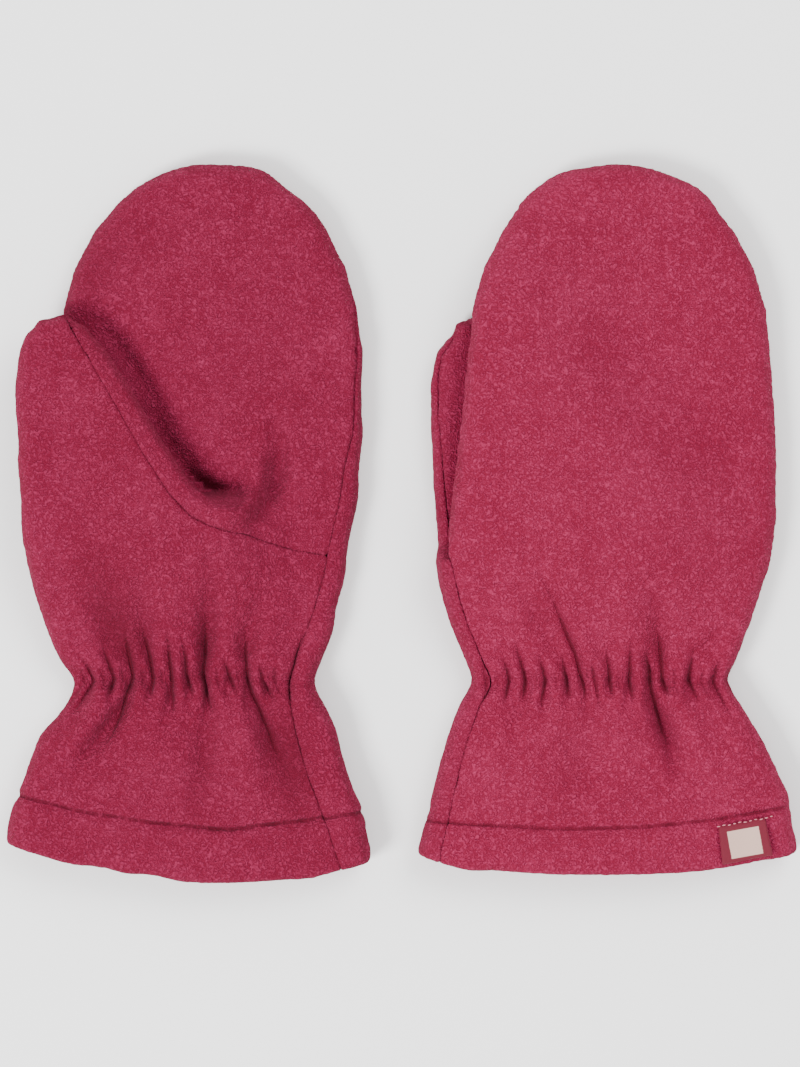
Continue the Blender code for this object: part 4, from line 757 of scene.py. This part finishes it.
for panel in PANELS:
    obj = cloth[panel["node"]]["obj"]
    obj.data.materials.clear()
    # Each panel's copy of the fleece is lighter or darker by its tone, partly painted light.
    obj.data.materials.append(fleece_material("fleece_" + panel["node"], panel["tone"]))
    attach(obj, "root")
    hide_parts(panel["node"])

print("scene: label")
label = remeshed("right_label", "woven_label", LABEL_CELL)
label_edges = edges_of(label.data)
label_points = nudged(smoothed(points_of(label.data), label_edges, 6))

# The label's corners are its furthest points along the two diagonals of the plan.
falling = label_points[:, 0] - label_points[:, 1]
rising = label_points[:, 0] + label_points[:, 1]
top_left = label_points[np.argmin(falling)]
top_right = label_points[np.argmax(rising)]
bottom_right = label_points[np.argmax(falling)]
bottom_left = label_points[np.argmin(rising)]
label_centre = (top_left + top_right + bottom_left + bottom_right) / 4
label_across = top_right - top_left + bottom_right - bottom_left
label_across /= np.linalg.norm(label_across)
label_down = bottom_left - top_left + bottom_right - top_right
label_down -= label_across * (label_down @ label_across)
label_down /= np.linalg.norm(label_down)
across = (label_points - label_centre) @ label_across
down = (label_points - label_centre) @ label_down
label_points[:, 2] += 0.25 * lumps(label_points * (1, 1, 0), 6.0, 31)
half_down = np.abs(down).max()
label_points[:, 2] -= 0.35 * ramp(-down, half_down - 1.4, half_down)
set_points(label.data, label_points)
spots = np.column_stack([across, down, np.zeros(len(across))])
spot_layer = label.data.attributes.new("spot", "FLOAT_VECTOR", "POINT")
spot_layer.data.foreach_set("vector", spots.astype(np.float32).ravel())


def label_material():
    """Close satin weave: a maroon ground with a plain pale field and a maroon border."""
    material = bpy.data.materials.new("woven_label")
    material.use_nodes = True
    tree = material.node_tree
    shader = tree.nodes["Principled BSDF"]
    spot = tree.nodes.new("ShaderNodeAttribute")
    spot.attribute_name = "spot"
    parts = tree.nodes.new("ShaderNodeSeparateXYZ")
    tree.links.new(spot.outputs["Vector"], parts.inputs[0])
    over = maths(tree, "ABSOLUTE", parts.outputs[0])
    low = maths(tree, "ABSOLUTE", maths(tree, "SUBTRACT", parts.outputs[1], LABEL_FIELD["drop"]))
    ragged = maths(tree, "MULTIPLY_ADD", grain(tree, spot.outputs["Vector"], 3.0, 1.0), 0.3, -0.15)
    edge_over = maths(tree, "SUBTRACT", maths(tree, "ADD", LABEL_FIELD["half_width"], ragged), over)
    edge_low = maths(tree, "SUBTRACT", LABEL_FIELD["half_height"], low)
    inside_over = maths(tree, "MULTIPLY", edge_over, FIELD_EDGE, clamp=True)
    inside_low = maths(tree, "MULTIPLY", edge_low, FIELD_EDGE, clamp=True)
    inside = maths(tree, "MULTIPLY", inside_over, inside_low)

    # Warp and weft cross at about three threads to the millimetre.
    warp = maths(tree, "SINE", maths(tree, "MULTIPLY", parts.outputs[0], WARP_TURNS))
    weft = maths(tree, "SINE", maths(tree, "MULTIPLY", parts.outputs[1], WEFT_TURNS))
    weave = maths(tree, "MULTIPLY_ADD", maths(tree, "MULTIPLY", warp, weft), 0.5, 0.5)
    ground = blended(tree, weave, LABEL_GROUND + (1,), LABEL_GROUND_LIGHT + (1,))
    pale = blended(tree, weave, LABEL_PALE + (1,), LABEL_PALE_LIGHT + (1,))
    tree.links.new(blended(tree, inside, ground, pale), shader.inputs["Base Color"])
    bump = tree.nodes.new("ShaderNodeBump")
    bump.inputs["Strength"].default_value = 0.5
    bump.inputs["Distance"].default_value = 0.00015
    tree.links.new(weave, bump.inputs["Height"])
    tree.links.new(bump.outputs["Normal"], shader.inputs["Normal"])
    shader.inputs["Roughness"].default_value = 0.55
    shader.inputs["Specular IOR Level"].default_value = 0.2
    return material


label.data.materials.clear()
label.data.materials.append(label_material())
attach(label, "root")
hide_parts("right_label")


def capsule(length, width, rings=6, sides=8):
    """Corners and faces of a short rounded thread along x."""
    corners, faces = [], []
    for i in range(rings + 1):
        f = i / rings
        size = width / 2 * np.sin(np.pi * (0.04 + 0.92 * f)) ** 0.5
        for j in range(sides):
            turn = 2 * np.pi * j / sides
            corners.append((length * (f - 0.5), size * np.cos(turn), size * np.sin(turn)))
    for i in range(rings):
        for j in range(sides):
            k = (j + 1) % sides
            faces.append((i * sides + j, i * sides + k, (i + 1) * sides + k, (i + 1) * sides + j))
    faces.append(tuple(range(sides - 1, -1, -1)))
    faces.append(tuple(rings * sides + j for j in range(sides)))
    return np.array(corners), faces


def plan_tree(points):
    """A search tree of points as seen from above."""
    tree = KDTree(len(points))
    for i, p in enumerate(points):
        tree.insert((p[0], p[1], 0), i)
    tree.balance()
    return tree


def stitch_row():
    """The row of thread that holds the label's top edge down on the hem."""
    corners, faces = [], []
    back = cloth["right_back"]["points"]
    label_tops = plan_tree(label_points)
    upper = back[back[:, 2] > middles["right"].at(back)]
    cloth_tops = plan_tree(upper)
    start = top_left - label_across * 0.8 + label_down * 0.1
    pitch = (np.linalg.norm(top_right - top_left) + 3.4) / LABEL_STITCHES
    for i in range(LABEL_STITCHES):
        middle = start + label_across * pitch * (i + 0.5) - label_down * 0.12 * np.sin(i * 2.1)
        spot = (middle[0], middle[1], 0)
        near = label_tops.find_n(spot, 6)
        if near[0][2] < 0.4:
            top = max(label_points[n[1]][2] for n in near)
        else:
            top = max(upper[n[1]][2] for n in cloth_tops.find_n(spot, 6))
        shape, sides = capsule(pitch * (0.60 + 0.08 * np.sin(i * 1.7)), STITCH_WIDTH)
        turn = 0.10 * np.sin(i * 2.9)
        along = label_across * np.cos(turn) + label_down * np.sin(turn)
        beside = label_down * np.cos(turn) - label_across * np.sin(turn)
        first = len(corners)
        for x, y, z in shape:
            p = middle + along * x + beside * y
            height = top + 0.10 + z * 0.7 - 0.05 * (x / pitch) ** 2
            corners.append((p[0] * MM, p[1] * MM, height * MM))
        faces += [tuple(first + c for c in face) for face in sides]
    mesh = bpy.data.meshes.new("label_stitches")
    mesh.from_pydata(corners, [], faces)
    mesh.update()
    obj = bpy.data.objects.new("label_stitches", mesh)
    bpy.context.scene.collection.objects.link(obj)
    return obj


def thread_material():
    """Pale twisted polyester sewing thread."""
    material = bpy.data.materials.new("thread")
    material.use_nodes = True
    tree = material.node_tree
    shader = tree.nodes["Principled BSDF"]
    place = tree.nodes.new("ShaderNodeTexCoord").outputs["Object"]
    twist = grain(tree, place, 2600, 2.0)
    colour = blended(tree, twist, THREAD_DARK + (1,), THREAD_LIGHT + (1,))
    tree.links.new(colour, shader.inputs["Base Color"])
    shader.inputs["Roughness"].default_value = 0.6
    return material


stitches = stitch_row()
stitches.data.materials.append(thread_material())
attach(stitches, "root")

floor_mesh = bpy.data.meshes.new("floor")
floor_signs = ((-1, -1), (1, -1), (1, 1), (-1, 1))
floor_corners = [(x * FLOOR_HALF, y * FLOOR_HALF, FLOOR_DROP) for x, y in floor_signs]
floor_mesh.from_pydata(floor_corners, [], [(0, 1, 2, 3)])
floor = bpy.data.objects.new("floor", floor_mesh)
bpy.context.scene.collection.objects.link(floor)
floor_material = bpy.data.materials.new("floor")
floor_material.use_nodes = True
floor_shader = floor_material.node_tree.nodes["Principled BSDF"]
floor_shader.inputs["Base Color"].default_value = (0.95, 0.95, 0.95, 1)
floor_shader.inputs["Roughness"].default_value = 0.9
floor_mesh.materials.append(floor_material)

world = bpy.data.worlds.new("studio")
bpy.context.scene.world = world
world.use_nodes = True
world.node_tree.nodes["Background"].inputs["Color"].default_value = (1, 1, 1, 1)
world.node_tree.nodes["Background"].inputs["Strength"].default_value = 1.3


def area_light(name, place, size, power):
    """A soft square light that looks at the pair."""
    data = bpy.data.lights.new(name, "AREA")
    data.size = size
    data.energy = power
    light = bpy.data.objects.new(name, data)
    light.location = place
    light.rotation_euler = (Vector((0, 0, 0)) - Vector(place)).to_track_quat("-Z", "Y").to_euler()
    bpy.context.scene.collection.objects.link(light)


area_light("key", (-0.85, -0.62, 1.15), 0.5, 36)
area_light("top", (0.75, 0.75, 1.35), 1.0, 24)

camera_data = bpy.data.cameras.new("camera")
camera_data.lens = CAMERA_LENS
camera_data.sensor_width = 36
camera = bpy.data.objects.new("camera", camera_data)
camera.location = (0, FRAME_CENTRE_Y, CAMERA_HEIGHT)
bpy.context.scene.collection.objects.link(camera)
bpy.context.scene.camera = camera
